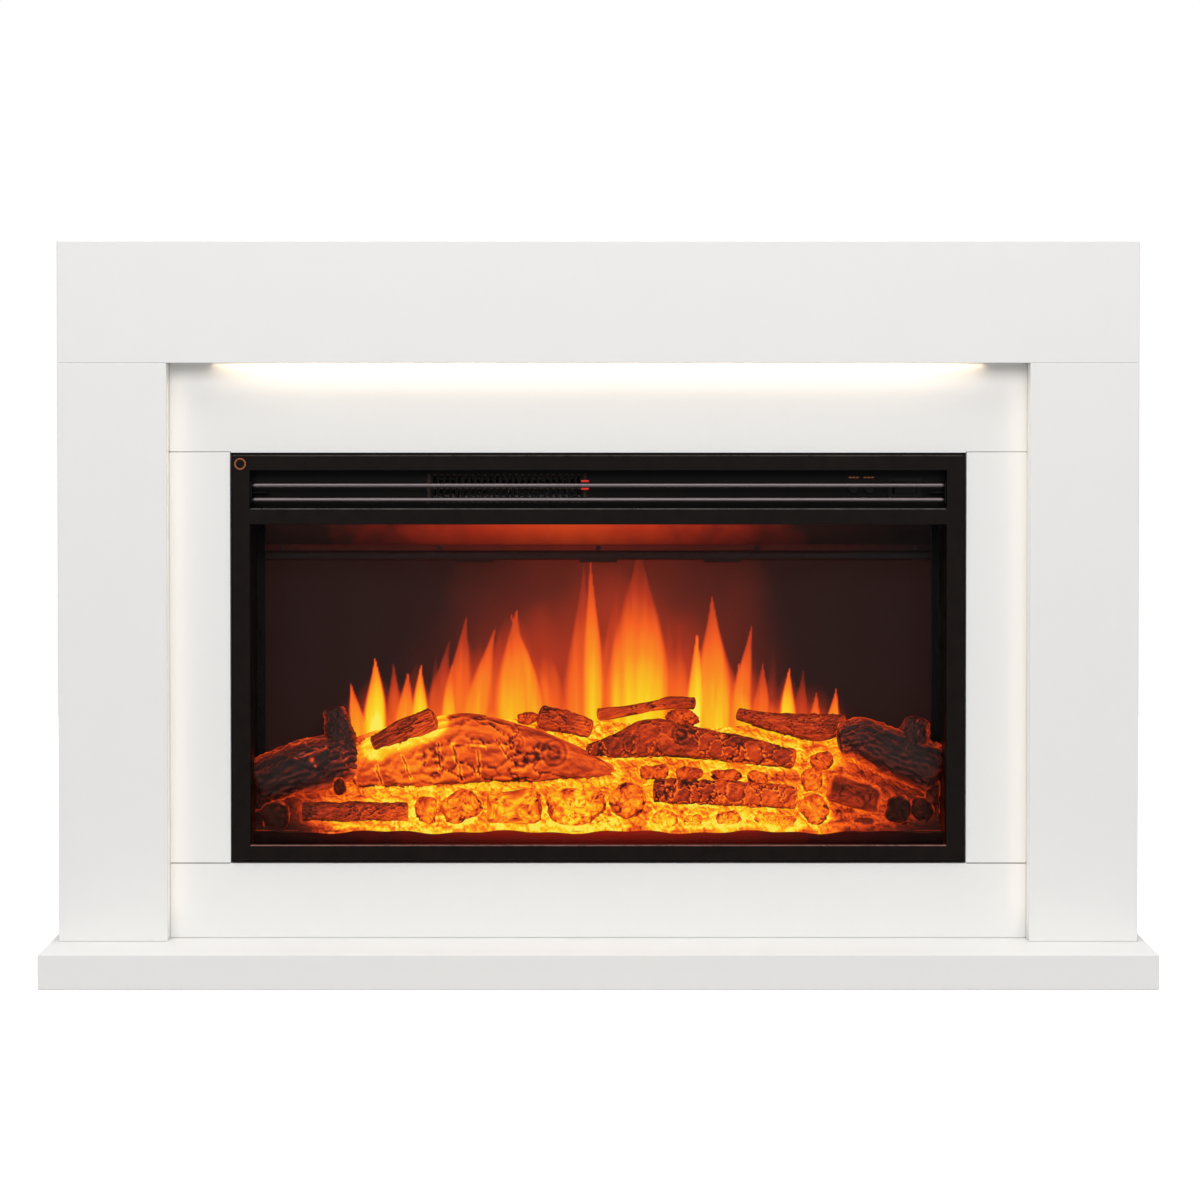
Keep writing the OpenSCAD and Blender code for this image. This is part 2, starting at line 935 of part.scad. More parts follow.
// moulded base in three steps; the logs and coals stand on it
module ember_bed() {
    color("orangered")
        bar_x(-win_w + 4, win_w - 4)
            polygon([[bed_front, bed_z + 1], [bed_front, step1],
                [zone1, step1], [zone1, step2], [zone2, step2],
                [zone2, step3], [bed_back, step3], [bed_back, bed_z + 1]]);
}

module log_disc(x, z, y, ry, rz) {
    bar_x(x, x + 0.6)
        polygon([for (a = [0 : 15 : 345])
            let (k = 1 + 0.04 * sin(a * 5 + x) - 0.02)
                [y + ry * cos(a) * k, z + rz * sin(a) * k]]);
}

// a log through a list of [x, z, radius], standing on a moulded foot
module log(points, y, ry, foot, foot_z) {
    for (i = [0 : len(points) - 2])
        hull() {
            log_disc(dx(points[i][0]), floor_z + points[i][1], y,
                min(ry, points[i][2]), points[i][2]);
            log_disc(dx(points[i + 1][0]), floor_z + points[i + 1][1], y,
                min(ry, points[i + 1][2]), points[i + 1][2]);
        }
    box(dx(foot[0]), dx(foot[1]), y - ry * 0.55, y + ry * 0.55, foot_z,
        floor_z + foot[2]);
}

module left_charred_log() {
    color("sienna") {
        log([[-392, 78, 26], [-340, 102, 29], [-290, 119, 27]],
            row2, row2_r, [-370, -310, 95], step2);
        rod_z(floor_z + 115, floor_z + 165, dx(-304), row2, 9);
    }
}

module right_charred_log() {
    color("sienna") {
        log([[286, 130, 28], [340, 108, 33], [389, 83, 30]],
            row2, row2_r, [305, 370, 95], step2);
        rod_z(floor_z + 110, floor_z + 155, dx(366), row2, 9);
    }
}

module left_main_log() {
    color("sienna")
        log([[-277, 112, 30], [-200, 116, 44], [-90, 115, 46],
            [-10, 112, 27]], row2, row2_r, [-220, -60, 105], step2);
}

module right_main_log() {
    color("sienna")
        log([[-4, 114, 22], [66, 132, 25], [150, 124, 25], [224, 108, 21]],
            row2, row2_r, [40, 180, 115], step2);
}

module upper_logs() {
    color("sienna") {
        log([[-251, 121, 14], [-197, 152, 14]],
            row3, row3_r, [-240, -205, 125], step3);
        log([[-59, 155, 14], [-8, 135, 14]],
            row3, row3_r, [-50, -16, 135], step3);
        log([[2, 151, 7], [112, 170, 10]],
            row3, row3_r, [20, 90, 154], step3);
        log([[167, 156, 15], [290, 137, 15]],
            row3, row3_r, [190, 270, 140], step3);
    }
}

module front_logs() {
    color("sienna") {
        log([[-342, 47, 14], [-280, 49, 12], [-222, 46, 11]],
            row1, row1_r, [-325, -240, 45], step1);
        log([[100, 71, 15], [229, 64, 15]],
            row1, row1_r, [120, 215, 62], step1);
        log([[271, 70, 15], [327, 60, 14]],
            row1, row1_r, [280, 320, 58], step1);
    }
}

// a rough lump standing on the bed
module lump(x, w, h, y, ry, z0) {
    hull()
        for (s = [[0, 0.8], [0.4, 1], [0.8, 0.8], [1, 0.45]])
            translate([dx(x), y, z0 + s[0] * (h - 0.4)])
                linear_extrude(0.4)
                    polygon([for (a = [0 : 40 : 320])
                        let (k = s[1] * (1 + 0.07 * sin(a * 3 + x)) * 0.93)
                            [w / 2 * kx * cos(a) * k, ry * sin(a) * k]]);
}

module coals() {
    color("orangered") {
        for (c = [[-387, 18, 26], [-365, 20, 24], [-201, 23, 30],
            [-161, 44, 41], [-98, 64, 40], [-26, 66, 46], [34, 40, 50],
            [77, 28, 19], [247, 26, 36], [345, 26, 34], [372, 22, 30]])
            lump(c[0], c[1], c[2], row1, row1_r, step1);
        lump(-84, 23, 55, row3, row3_r, step3);
        lump(252, 30, 45, row2, row2_r, step2);
    }
}

// shaft with flat reflecting vanes
module flame_spinner() {
    n = vane_count;
    x1 = case_w - 30;
    pitch = (2 * x1 - 20) / n;
    color("silver") {
        rod_x(-case_w + 8, case_w - 12, spin_y, spin_z, spin_shaft_r);
        for (i = [0 : n - 1])
            translate([(i - (n - 1) / 2) * pitch, spin_y, spin_z])
                rotate([i * 50, 0, 0])
                    cube([pitch * 0.72, 2 * vane_r, 0.6], center = true);
    }
}

// geared motor at the right, bearing block at the left
module spinner_drive() {
    color("dimgray") {
        difference() {
            rod_x(case_w - 21, case_w - steel_t, spin_y, spin_z, 20);
            rod_x(case_w - 22, case_w - 10, spin_y, spin_z,
                spin_shaft_r + run_fit);
        }
        difference() {
            rod_x(-case_w + steel_t, -case_w + 16, spin_y, spin_z, 9);
            rod_x(-case_w + 6, -case_w + 17, spin_y, spin_z,
                spin_shaft_r + run_fit);
        }
    }
}

module light_board(y0, y1, z) {
    n = 24;
    w = dx(380);
    box(-w, w, y0, y1, z, z + 1.6);
    for (i = [0 : n - 1])
        translate([(i - (n - 1) / 2) * 2 * w / n, (y0 + y1) / 2, z + 2])
            cube([5, 5, 1.6], center = true);
    for (x = [-w + 20, 0, w - 20])
        rod_z(floor_z, z + 0.5, x, (y0 + y1) / 2, 3);
}

module light_boards() {
    color("darkgreen") {
        light_board(row2 - 6, row2 + 6, floor_z + 6);
        light_board(screen_y + screen_t + 3, screen_y + screen_t + 15,
            floor_z + 18);
    }
}

plinth_top();
plinth_front();
plinth_ends();
plinth_rear_rail();
left_leg_front();
left_leg_sides();
right_leg_front();
right_leg_sides();
mantel_top();
mantel_front();
mantel_ends();
mantel_underside();
mantel_rear_rail();
led_channel();
led_strip();
led_diffuser();
header_panel();
left_infill_panel();
right_infill_panel();
footer_panel();
support_shelf();
wall_brackets();
assembly_screws();
trim_frame();
louvre_rails();
rail_brackets();
control_fascia();
outlet_grille();
heater_element();
fan_housing();
fan_impeller();
fan_motor();
heat_button();
flame_button();
switch_body();
power_rocker();
control_board();
glass_pane();
case_floor();
case_sides();
case_top();
case_rear_cover();
case_screws();
heater_shelf();
side_liners();
screen_rail();
flame_screen();
bed_tray();
ember_bed();
left_charred_log();
right_charred_log();
left_main_log();
right_main_log();
upper_logs();
front_logs();
coals();
flame_spinner();
spinner_drive();
light_boards();
mains_gland();
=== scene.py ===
import math

import bpy
import numpy as np
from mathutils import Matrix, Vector


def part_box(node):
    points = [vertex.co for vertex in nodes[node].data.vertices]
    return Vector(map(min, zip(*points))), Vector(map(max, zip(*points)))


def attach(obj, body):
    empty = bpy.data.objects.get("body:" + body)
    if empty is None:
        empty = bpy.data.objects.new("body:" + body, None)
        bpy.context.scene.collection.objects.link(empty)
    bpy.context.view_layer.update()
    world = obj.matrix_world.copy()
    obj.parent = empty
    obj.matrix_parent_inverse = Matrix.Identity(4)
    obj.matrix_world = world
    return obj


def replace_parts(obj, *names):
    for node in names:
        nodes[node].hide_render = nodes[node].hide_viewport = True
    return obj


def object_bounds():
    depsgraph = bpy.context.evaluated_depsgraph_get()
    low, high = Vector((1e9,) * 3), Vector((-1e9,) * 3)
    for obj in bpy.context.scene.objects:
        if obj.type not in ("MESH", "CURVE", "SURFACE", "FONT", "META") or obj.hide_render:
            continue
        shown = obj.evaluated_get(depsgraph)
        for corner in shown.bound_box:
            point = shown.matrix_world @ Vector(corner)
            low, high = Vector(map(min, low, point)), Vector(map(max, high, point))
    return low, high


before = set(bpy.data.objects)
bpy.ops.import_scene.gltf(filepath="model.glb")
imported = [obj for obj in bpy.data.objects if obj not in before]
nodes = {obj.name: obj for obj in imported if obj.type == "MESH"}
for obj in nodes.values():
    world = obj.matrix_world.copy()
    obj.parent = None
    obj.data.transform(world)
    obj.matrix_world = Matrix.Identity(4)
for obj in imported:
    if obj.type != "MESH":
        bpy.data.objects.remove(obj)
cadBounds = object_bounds()
mm = 0.001
print("frame loaded:", len(nodes), "nodes")

# small helpers


# joins an output of one node to an input of another
def wire(tree, source, outName, target, inName):
    tree.links.new(source.outputs[outName], target.inputs[inName])


# a node at a place in the tree, with its inputs set
def newNode(tree, kind, x=0, y=0, **values):
    made = tree.nodes.new(kind)
    made.location = (x, y)
    for key, value in values.items():
        made.inputs[key].default_value = value
    return made


# a colour ramp of any number of stops
def rampNode(tree, stops, x=0, y=0):
    made = newNode(tree, "ShaderNodeValToRGB", x, y)
    points = made.color_ramp.elements
    while len(points) < len(stops):
        points.new(0.5)
    for point, (place, color) in zip(points, stops):
        point.position = place
        point.color = (*color, 1)
    return made


def startMaterial(name):
    mat = bpy.data.materials.new(name)
    mat.use_nodes = True
    tree = mat.node_tree
    return mat, tree, tree.nodes["Principled BSDF"]


# colour that drifts a little, uneven gloss and a fine bump, as the look says
def addSurface(tree, shader, look):
    coords = newNode(tree, "ShaderNodeTexCoord", -1200)
    place = newNode(tree, "ShaderNodeMapping", -1000, Scale=look.get("stretch", (1, 1, 1)))
    wire(tree, coords, "Object", place, "Vector")
    grain = newNode(tree, "ShaderNodeTexNoise", -800, -200, Scale=look["grain"], Detail=4.0,
                    Roughness=0.55)
    wire(tree, place, "Vector", grain, "Vector")
    if "spangle" in look:
        # crystals of a zinc coat
        crystals = newNode(tree, "ShaderNodeTexVoronoi", -1000, 200, Scale=look["spangle"])
        wire(tree, coords, "Object", crystals, "Vector")
        cloud = newNode(tree, "ShaderNodeSeparateColor", -800, 200)
        wire(tree, crystals, "Color", cloud, "Color")
        cloudOut = "Red"
    else:
        cloud = newNode(tree, "ShaderNodeTexNoise", -800, 200, Scale=look["grain"] * 0.04 + 3,
                        Detail=5.0, Roughness=0.6)
        wire(tree, coords, "Object", cloud, "Vector")
        cloudOut = "Fac"
    rough = newNode(tree, "ShaderNodeMapRange", -500, 100)
    rough.inputs["To Min"].default_value = look["rough"] - look["roughVar"] * 2
    rough.inputs["To Max"].default_value = look["rough"] + look["roughVar"] * 2
    wire(tree, cloud, cloudOut, rough, "Value")
    wire(tree, rough, "Result", shader, "Roughness")
    low = tuple(c * (1 - look["vary"]) for c in look["color"])
    high = tuple(min(1, c * (1 + look["vary"])) for c in look["color"])
    tint = rampNode(tree, ((0.3, low), (0.7, high)), -500, 400)
    wire(tree, cloud, cloudOut, tint, "Fac")
    wire(tree, tint, "Color", shader, "Base Color")
    bump = newNode(tree, "ShaderNodeBump", -300, -200, Strength=look["bump"], Distance=look["depth"])
    wire(tree, grain, "Fac", bump, "Height")
    wire(tree, bump, "Normal", shader, "Normal")
    shader.inputs["Metallic"].default_value = look.get("metal", 0.0)
    shader.inputs["Specular IOR Level"].default_value = look.get("spec", 0.5)
    return cloud


def surface(name, look):
    mat, tree, shader = startMaterial(name)
    addSurface(tree, shader, look)
    return mat


# painted light that fades sideways from its middle, on top of a surface, stronger higher up when a rise
# is given
def paintedGlowSurface(name, look, middle, spread, stops, rise=None):
    mat, tree, shader = startMaterial(name)
    cloud = addSurface(tree, shader, look)
    coords = newNode(tree, "ShaderNodeTexCoord", -1200, -600)
    parts = newNode(tree, "ShaderNodeSeparateXYZ", -1000, -600)
    wire(tree, coords, "Object", parts, "Vector")
    shift = newNode(tree, "ShaderNodeMath", -800, -600)
    shift.operation = "SUBTRACT"
    shift.inputs[1].default_value = middle
    wire(tree, parts, "X", shift, 0)
    scale = newNode(tree, "ShaderNodeMath", -600, -600)
    scale.operation = "DIVIDE"
    scale.inputs[1].default_value = spread
    wire(tree, shift, "Value", scale, 0)
    size = newNode(tree, "ShaderNodeMath", -400, -600)
    size.operation = "ABSOLUTE"
    wire(tree, scale, "Value", size, 0)
    mottle = newNode(tree, "ShaderNodeMapRange", -600, -800)
    mottle.inputs["To Min"].default_value = -0.18
    mottle.inputs["To Max"].default_value = 0.18
    wire(tree, cloud, "Fac", mottle, "Value")
    total = newNode(tree, "ShaderNodeMath", -200, -600)
    total.operation = "ADD"
    wire(tree, size, "Value", total, 0)
    wire(tree, mottle, "Result", total, 1)
    ramp = rampNode(tree, stops, 0, -600)
    wire(tree, total, "Value", ramp, "Fac")
    wire(tree, ramp, "Color", shader, "Emission Color")
    shader.inputs["Emission Strength"].default_value = 1.0
    if rise:
        climb = newNode(tree, "ShaderNodeMapRange", 0, -900)
        for key, value in zip(("From Min", "From Max", "To Min", "To Max"), rise):
            climb.inputs[key].default_value = value
        wire(tree, parts, "Z", climb, "Value")
        wire(tree, climb, "Result", shader, "Emission Strength")
    return mat


# heat to colour: dark, ember red, orange, yellow, nearly white
heatStops = ((0.0, (0.0, 0.0, 0.0)), (0.10, (0.022, 0.002, 0.001)), (0.22, (0.13, 0.010, 0.003)),
             (0.36, (0.52, 0.035, 0.006)), (0.52, (0.95, 0.11, 0.008)), (0.68, (1.0, 0.25, 0.008)),
             (0.84, (1.0, 0.50, 0.008)), (0.96, (1.0, 0.70, 0.015)), (1.0, (1.0, 0.84, 0.09)))


# fired clay that glows by the vertex attribute glow
def heatMaterial(name, dark, grainScale, speckle, bumpDepth, rough=0.8, mottle=0.55, spec=0.12):
    mat, tree, shader = startMaterial(name)
    coords = newNode(tree, "ShaderNodeTexCoord", -1200)
    fine = newNode(tree, "ShaderNodeTexNoise", -900, 100, Scale=grainScale, Detail=6.0, Roughness=0.62)
    wire(tree, coords, "Object", fine, "Vector")
    heat = newNode(tree, "ShaderNodeAttribute", -900, -200)
    heat.attribute_name = "glow"
    swing = newNode(tree, "ShaderNodeMapRange", -650, 100)
    swing.inputs["From Min"].default_value = 0.25
    swing.inputs["From Max"].default_value = 0.75
    swing.inputs["To Min"].default_value = 1 - speckle
    swing.inputs["To Max"].default_value = 1 + speckle
    wire(tree, fine, "Fac", swing, "Value")
    mixed = newNode(tree, "ShaderNodeMath", -400, -100)
    mixed.operation = "MULTIPLY"
    wire(tree, heat, "Fac", mixed, 0)
    wire(tree, swing, "Result", mixed, 1)
    ramp = rampNode(tree, heatStops, -150, -100)
    wire(tree, mixed, "Value", ramp, "Fac")
    wire(tree, ramp, "Color", shader, "Emission Color")
    shader.inputs["Emission Strength"].default_value = 1.0
    dim, bright = (tuple(c * (1 + side * mottle) for c in dark) for side in (-1, 1))
    tint = rampNode(tree, ((0.3, dim), (0.7, bright)), -400, 350)
    wire(tree, fine, "Fac", tint, "Fac")
    wire(tree, tint, "Color", shader, "Base Color")
    bump = newNode(tree, "ShaderNodeBump", -300, -400, Strength=0.7, Distance=bumpDepth)
    wire(tree, fine, "Fac", bump, "Height")
    wire(tree, bump, "Normal", shader, "Normal")
    shader.inputs["Roughness"].default_value = rough
    shader.inputs["Specular IOR Level"].default_value = spec
    return mat


# an object from points and faces, with values kept on its vertices
def meshPiece(name, points, faces, mat, smooth=True, attributes=None):
    mesh = bpy.data.meshes.new(name)
    mesh.from_pydata([tuple(p) for p in points], [], [tuple(f) for f in faces])
    mesh.update()
    if smooth:
        mesh.polygons.foreach_set("use_smooth", [True] * len(mesh.polygons))
    for key, values in (attributes or {}).items():
        layer = mesh.attributes.new(key, "FLOAT", "POINT")
        layer.data.foreach_set("value", np.asarray(values, np.float32))
    made = bpy.data.objects.new(name, mesh)
    bpy.context.scene.collection.objects.link(made)
    mesh.materials.append(mat)
    return made


# faces of a grid of rows by columns, the columns joined round if closed
def gridFaces(rows, columns, closed, start=0):
    faces = []
    last = columns if closed else columns - 1
    for i in range(rows - 1):
        for j in range(last):
            k = (j + 1) % columns
            faces.append((start + i * columns + j, start + i * columns + k,
                          start + (i + 1) * columns + k, start + (i + 1) * columns + j))
    return faces


# rounds the sharp edges of a piece
def rounded(piece, edge):
    weld = piece.modifiers.new("weld", "WELD")
    weld.merge_threshold = 1e-6
    bevel = piece.modifiers.new("bevel", "BEVEL")
    bevel.width = edge["round"]
    bevel.segments = edge["steps"]
    bevel.limit_method = "ANGLE"
    bevel.angle_limit = math.radians(40)
    bevel.harden_normals = True
    return piece


def setMaterial(nodeName, mat):
    piece = nodes[nodeName]
    piece.data.materials.clear()
    piece.data.materials.append(mat)
    return piece


# the box round several pieces of the frame
def boxOf(*names):
    corners = [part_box(n) for n in names]
    low = Vector([min(c[0][i] for c in corners) for i in range(3)])
    high = Vector([max(c[1][i] for c in corners) for i in range(3)])
    return low, high


# noise


# a repeatable number from 0 to 1 for each cell of a grid
def hashed(i, j, k, seed):
    n = (i * 73856093) ^ (j * 19349663) ^ (k * 83492791) ^ (seed * 40503551)
    n = n & 0xFFFFFFFF
    n = ((n ^ (n >> 13)) * 1274126177) & 0xFFFFFFFF
    n = ((n ^ (n >> 15)) * 668265263) & 0xFFFFFFFF
    n = n ^ (n >> 16)
    return (n & 0xFFFFFF) / 16777215.0


# smooth noise from 0 to 1
def valueNoise(p, seed):
    cell = np.floor(p).astype(np.int64)
    f = p - cell
    f = f * f * (3 - 2 * f)
    total = np.zeros(len(p))
    for a in (0, 1):
        for b in (0, 1):
            for c in (0, 1):
                weight = f[:, 0] if a else 1 - f[:, 0]
                weight = weight * (f[:, 1] if b else 1 - f[:, 1])
                weight = weight * (f[:, 2] if c else 1 - f[:, 2])
                total += weight * hashed(cell[:, 0] + a, cell[:, 1] + b, cell[:, 2] + c, seed)
    return total


# several sizes of noise added up, round zero
def layered(p, seed, octaves=3):
    total, size, norm = np.zeros(len(p)), 1.0, 0.0
    for i in range(octaves):
        total += size * valueNoise(p * 2 ** i + 17.3 * i, seed + i)
        norm += size
        size *= 0.5
    return total / norm - 0.5


# distance to the nearest cell border, and a random number for each cell
def cells(p, seed):
    base = np.floor(p).astype(np.int64)
    first = np.full(len(p), 9.0)
    second = np.full(len(p), 9.0)
    label = np.zeros(len(p))
    for a in (-1, 0, 1):
        for b in (-1, 0, 1):
            for c in (-1, 0, 1):
                i, j, k = base[:, 0] + a, base[:, 1] + b, base[:, 2] + c
                dx = i + hashed(i, j, k, seed) - p[:, 0]
                dy = j + hashed(i, j, k, seed + 5) - p[:, 1]
                dz = k + hashed(i, j, k, seed + 9) - p[:, 2]
                d = np.sqrt(dx * dx + dy * dy + dz * dz)
                near = d < first
                second = np.where(near, first, np.minimum(second, d))
                label = np.where(near, hashed(i, j, k, seed + 13), label)
                first = np.where(near, d, first)
    return second - first, label


# smooth step from low to high
def ease(low, high, value):
    t = np.clip((value - low) / (high - low), 0, 1)
    return t * t * (3 - 2 * t)


# materials

board = {"color": (0.8, 0.795, 0.785), "rough": 0.38, "roughVar": 0.03, "grain": 260, "bump": 0.10,
         "depth": 0.0004, "vary": 0.003, "spec": 0.4}
boardMat = surface("whiteBoard", board)
trim = {"color": (0.006, 0.0038, 0.003), "rough": 0.46, "roughVar": 0.07, "grain": 1500, "bump": 0.3,
        "depth": 0.0003, "vary": 0.25, "spec": 0.09}
trimMat = surface("trimCoat", trim)
innerBlack = {"color": (0.004, 0.0028, 0.0024), "rough": 0.4, "roughVar": 0.1, "grain": 900,
              "bump": 0.15, "depth": 0.0003, "vary": 0.2, "spec": 0.12}
innerMat = surface("innerBlack", innerBlack)
rails = {"color": (0.15, 0.125, 0.13), "metal": 1.0, "rough": 0.38, "roughVar": 0.06, "grain": 500,
         "bump": 0.12, "depth": 0.0002, "vary": 0.08, "stretch": (0.02, 1, 1), "chamfer": 2.4,
         "tip": 0.6}
railMat = surface("railMetal", rails)
galvanised = {"color": (0.46, 0.47, 0.48), "metal": 1.0, "rough": 0.42, "roughVar": 0.06, "grain": 300,
              "bump": 0.05, "depth": 0.0002, "vary": 0.09, "spangle": 75}
caseMat = surface("galvanisedSheet", galvanised)
aluminium = {"color": (0.62, 0.61, 0.6), "metal": 1.0, "rough": 0.32, "roughVar": 0.08, "grain": 700,
             "bump": 0.1, "depth": 0.0002, "vary": 0.08, "stretch": (0.03, 1, 1)}
aluMat = surface("aluminium", aluminium)
heaterMetal = {"color": (0.07, 0.045, 0.036), "metal": 1.0, "rough": 0.45, "roughVar": 0.1,
               "grain": 600, "bump": 0.1, "depth": 0.0002, "vary": 0.15}
heaterMat = surface("heaterMetal", heaterMetal)
zinc = {"color": (0.6, 0.6, 0.58), "metal": 1.0, "rough": 0.35, "roughVar": 0.12, "grain": 800,
        "bump": 0.1, "depth": 0.0002, "vary": 0.1}
zincMat = surface("zincSteel", zinc)
motorSteel = {"color": (0.14, 0.14, 0.15), "metal": 0.8, "rough": 0.45, "roughVar": 0.1, "grain": 500,
              "bump": 0.15, "depth": 0.0002, "vary": 0.12}
motorMat = surface("motorSteel", motorSteel)
darkScrews = {"color": (0.012, 0.006, 0.005), "metal": 0.5, "rough": 0.4, "roughVar": 0.1, "grain": 700,
              "bump": 0.1, "depth": 0.0002, "vary": 0.1}
darkScrewMat = surface("darkScrews", darkScrews)
buttonPlastic = {"color": (0.006, 0.0055, 0.005), "rough": 0.42, "roughVar": 0.08, "grain": 1800,
                 "bump": 0.2, "depth": 0.0002, "vary": 0.1, "spec": 0.22}
buttonMat = surface("buttonPlastic", buttonPlastic)
switchPlastic = {"color": (0.005, 0.0045, 0.0045), "rough": 0.25, "roughVar": 0.06, "grain": 1200,
                 "bump": 0.08, "depth": 0.0002, "vary": 0.1, "spec": 0.2}
switchMat = surface("switchPlastic", switchPlastic)
circuit = {"color": (0.02, 0.12, 0.04), "rough": 0.35, "roughVar": 0.1, "grain": 400, "bump": 0.1,
           "depth": 0.0002, "vary": 0.3}
circuitMat = surface("circuitBoard", circuit)
foil = {"color": (0.85, 0.84, 0.8), "metal": 1.0, "rough": 0.12, "roughVar": 0.06, "grain": 150,
        "bump": 0.3, "depth": 0.0006, "vary": 0.05}
foilMat = surface("spinnerFoil", foil)
paint = {"color": (0.34, 0.085, 0.018), "rough": 0.45, "roughVar": 0.08, "grain": 900, "bump": 0.08,
         "depth": 0.0001, "vary": 0.08}
paintMat = surface("orangePaint", paint)

barkMat = heatMaterial("barkGlow", dark=(0.03, 0.010, 0.005), grainScale=900, speckle=0.12,
                       bumpDepth=0.0012)
charMat = heatMaterial("charGlow", dark=(0.009, 0.004, 0.003), grainScale=700, speckle=0.25,
                       bumpDepth=0.0022, rough=0.45, spec=0.3)
emberMat = heatMaterial("emberGlow", dark=(0.018, 0.005, 0.002), grainScale=620, speckle=0.10,
                        bumpDepth=0.0014)
screenMat = heatMaterial("flamePicture", dark=(0.008, 0.0055, 0.005), grainScale=900, speckle=0.02,
                         bumpDepth=0.00001, rough=0.6, mottle=0.06)

# painted reflection of the glowing bed on the tray's front lip, brightest in the middle and along its top
lipLook = {**innerBlack, "color": (0.003, 0.0008, 0.0006), "spec": 0.03}
trayLipReflectionMat = paintedGlowSurface("trayLipFireReflection", lipLook, 0.0, 0.36,
                     ((0.0, (0.26, 0.009, 0.003)), (0.4, (0.17, 0.007, 0.003)),
                      (0.75, (0.045, 0.003, 0.002)), (1.0, (0.006, 0.001, 0.0008))),
                     (0.150, 0.162, 0.35, 1.25))
# painted fire light on the rear rail's band, strip, lip and tabs, brightest in the middle, the band
# brighter higher up
bandFireLightMat = paintedGlowSurface("rearBandFireLit", innerBlack, -0.034, 0.42,
                      ((0.0, (0.44, 0.036, 0.006)), (0.22, (0.30, 0.019, 0.005)),
                       (0.5, (0.09, 0.006, 0.003)),
                       (0.68, (0.012, 0.003, 0.002)), (1.0, (0.002, 0.0009, 0.0009))),
                      (0.492, 0.514, 0.5, 1.5))
stripFireLightMat = paintedGlowSurface("railStripFireLit", innerBlack, -0.034, 0.42,
                       ((0.0, (0.11, 0.008, 0.004)), (0.4, (0.05, 0.005, 0.003)),
                        (1.0, (0.006, 0.002, 0.002))))
railLipFireLightMat = paintedGlowSurface("railLipFireLit", innerBlack, -0.034, 0.42,
                        ((0.0, (0.016, 0.003, 0.002)), (1.0, (0.002, 0.001, 0.001))))

ledGlow = {"color": (1.0, 0.8, 0.55), "strength": 10.5, "fade": (0.447, 0.37)}
ledMat, ledTree, ledShader = startMaterial("ledDiffuser")
addSurface(ledTree, ledShader, {**board, "rough": 0.6})
ledShader.inputs["Emission Color"].default_value = (*ledGlow["color"], 1)
ledCoords = newNode(ledTree, "ShaderNodeTexCoord", -1200, -600)
ledParts = newNode(ledTree, "ShaderNodeSeparateXYZ", -1000, -600)
wire(ledTree, ledCoords, "Object", ledParts, "Vector")
ledSize = newNode(ledTree, "ShaderNodeMath", -800, -600)
ledSize.operation = "ABSOLUTE"
wire(ledTree, ledParts, "X", ledSize, 0)
ledFade = newNode(ledTree, "ShaderNodeMapRange", -600, -600)
ledFade.inputs["From Min"].default_value, ledFade.inputs["From Max"].default_value = ledGlow["fade"]
ledFade.inputs["To Min"].default_value = ledGlow["strength"] * 0.25
ledFade.inputs["To Max"].default_value = ledGlow["strength"]
wire(ledTree, ledSize, "Value", ledFade, "Value")
wire(ledTree, ledFade, "Result", ledShader, "Emission Strength")

glass = {"tint": (0.97, 0.975, 0.97, 1), "ior": 1.085, "smear": 9.0, "rough": (0.01, 0.09)}
glassMat = bpy.data.materials.new("windowGlass")
glassMat.use_nodes = True
glassTree = glassMat.node_tree
glassTree.nodes.remove(glassTree.nodes["Principled BSDF"])
clear = newNode(glassTree, "ShaderNodeBsdfTransparent", -200, 100, Color=glass["tint"])
shine = newNode(glassTree, "ShaderNodeBsdfGlossy", -200, -100, Color=(1, 1, 1, 1))
edgeOn = newNode(glassTree, "ShaderNodeFresnel", -400, 300, IOR=glass["ior"])
joined = newNode(glassTree, "ShaderNodeMixShader", 0)
glassCoords = newNode(glassTree, "ShaderNodeTexCoord", -900)
smears = newNode(glassTree, "ShaderNodeTexNoise", -700, Scale=glass["smear"], Detail=6.0)
wire(glassTree, glassCoords, "Object", smears, "Vector")
smearRange = newNode(glassTree, "ShaderNodeMapRange", -450)
smearRange.inputs["To Min"].default_value, smearRange.inputs["To Max"].default_value = glass["rough"]
wire(glassTree, smears, "Fac", smearRange, "Value")
wire(glassTree, smearRange, "Result", shine, "Roughness")
wire(glassTree, edgeOn, "Fac", joined, "Fac")
wire(glassTree, clear, "BSDF", joined, 1)
wire(glassTree, shine, "BSDF", joined, 2)
wire(glassTree, joined, "Shader", glassTree.nodes["Material Output"], "Surface")
print("materials made")

# surround
boardEdge = {"round": 1.1 * mm, "steps": 3}
panelEdge = {"round": 1.5 * mm, "steps": 2}


# a box with a rectangular hollow cut up into its underside
def hollowBox(name, low, high, holeLow, holeHigh, standsFor):
    x0, y0, z0 = low
    x1, y1, z1 = high
    a0, b0 = holeLow[0], holeLow[1]
    a1, b1, c1 = holeHigh
    points = [(x0, y0, z0), (x1, y0, z0), (x1, y1, z0), (x0, y1, z0),
              (x0, y0, z1), (x1, y0, z1), (x1, y1, z1), (x0, y1, z1),
              (a0, b0, z0), (a1, b0, z0), (a1, b1, z0), (a0, b1, z0),
              (a0, b0, c1), (a1, b0, c1), (a1, b1, c1), (a0, b1, c1)]
    faces = [(4, 5, 6, 7), (0, 1, 5, 4), (1, 2, 6, 5), (2, 3, 7, 6), (3, 0, 4, 7),
             (1, 0, 8, 9), (2, 1, 9, 10), (3, 2, 10, 11), (0, 3, 11, 8),
             (9, 8, 12, 13), (10, 9, 13, 14), (11, 10, 14, 15), (8, 11, 15, 12), (13, 12, 15, 14)]
    made = rounded(meshPiece(name, points, faces, boardMat), boardEdge)
    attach(made, "surround")
    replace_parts(made, *standsFor)
    return made


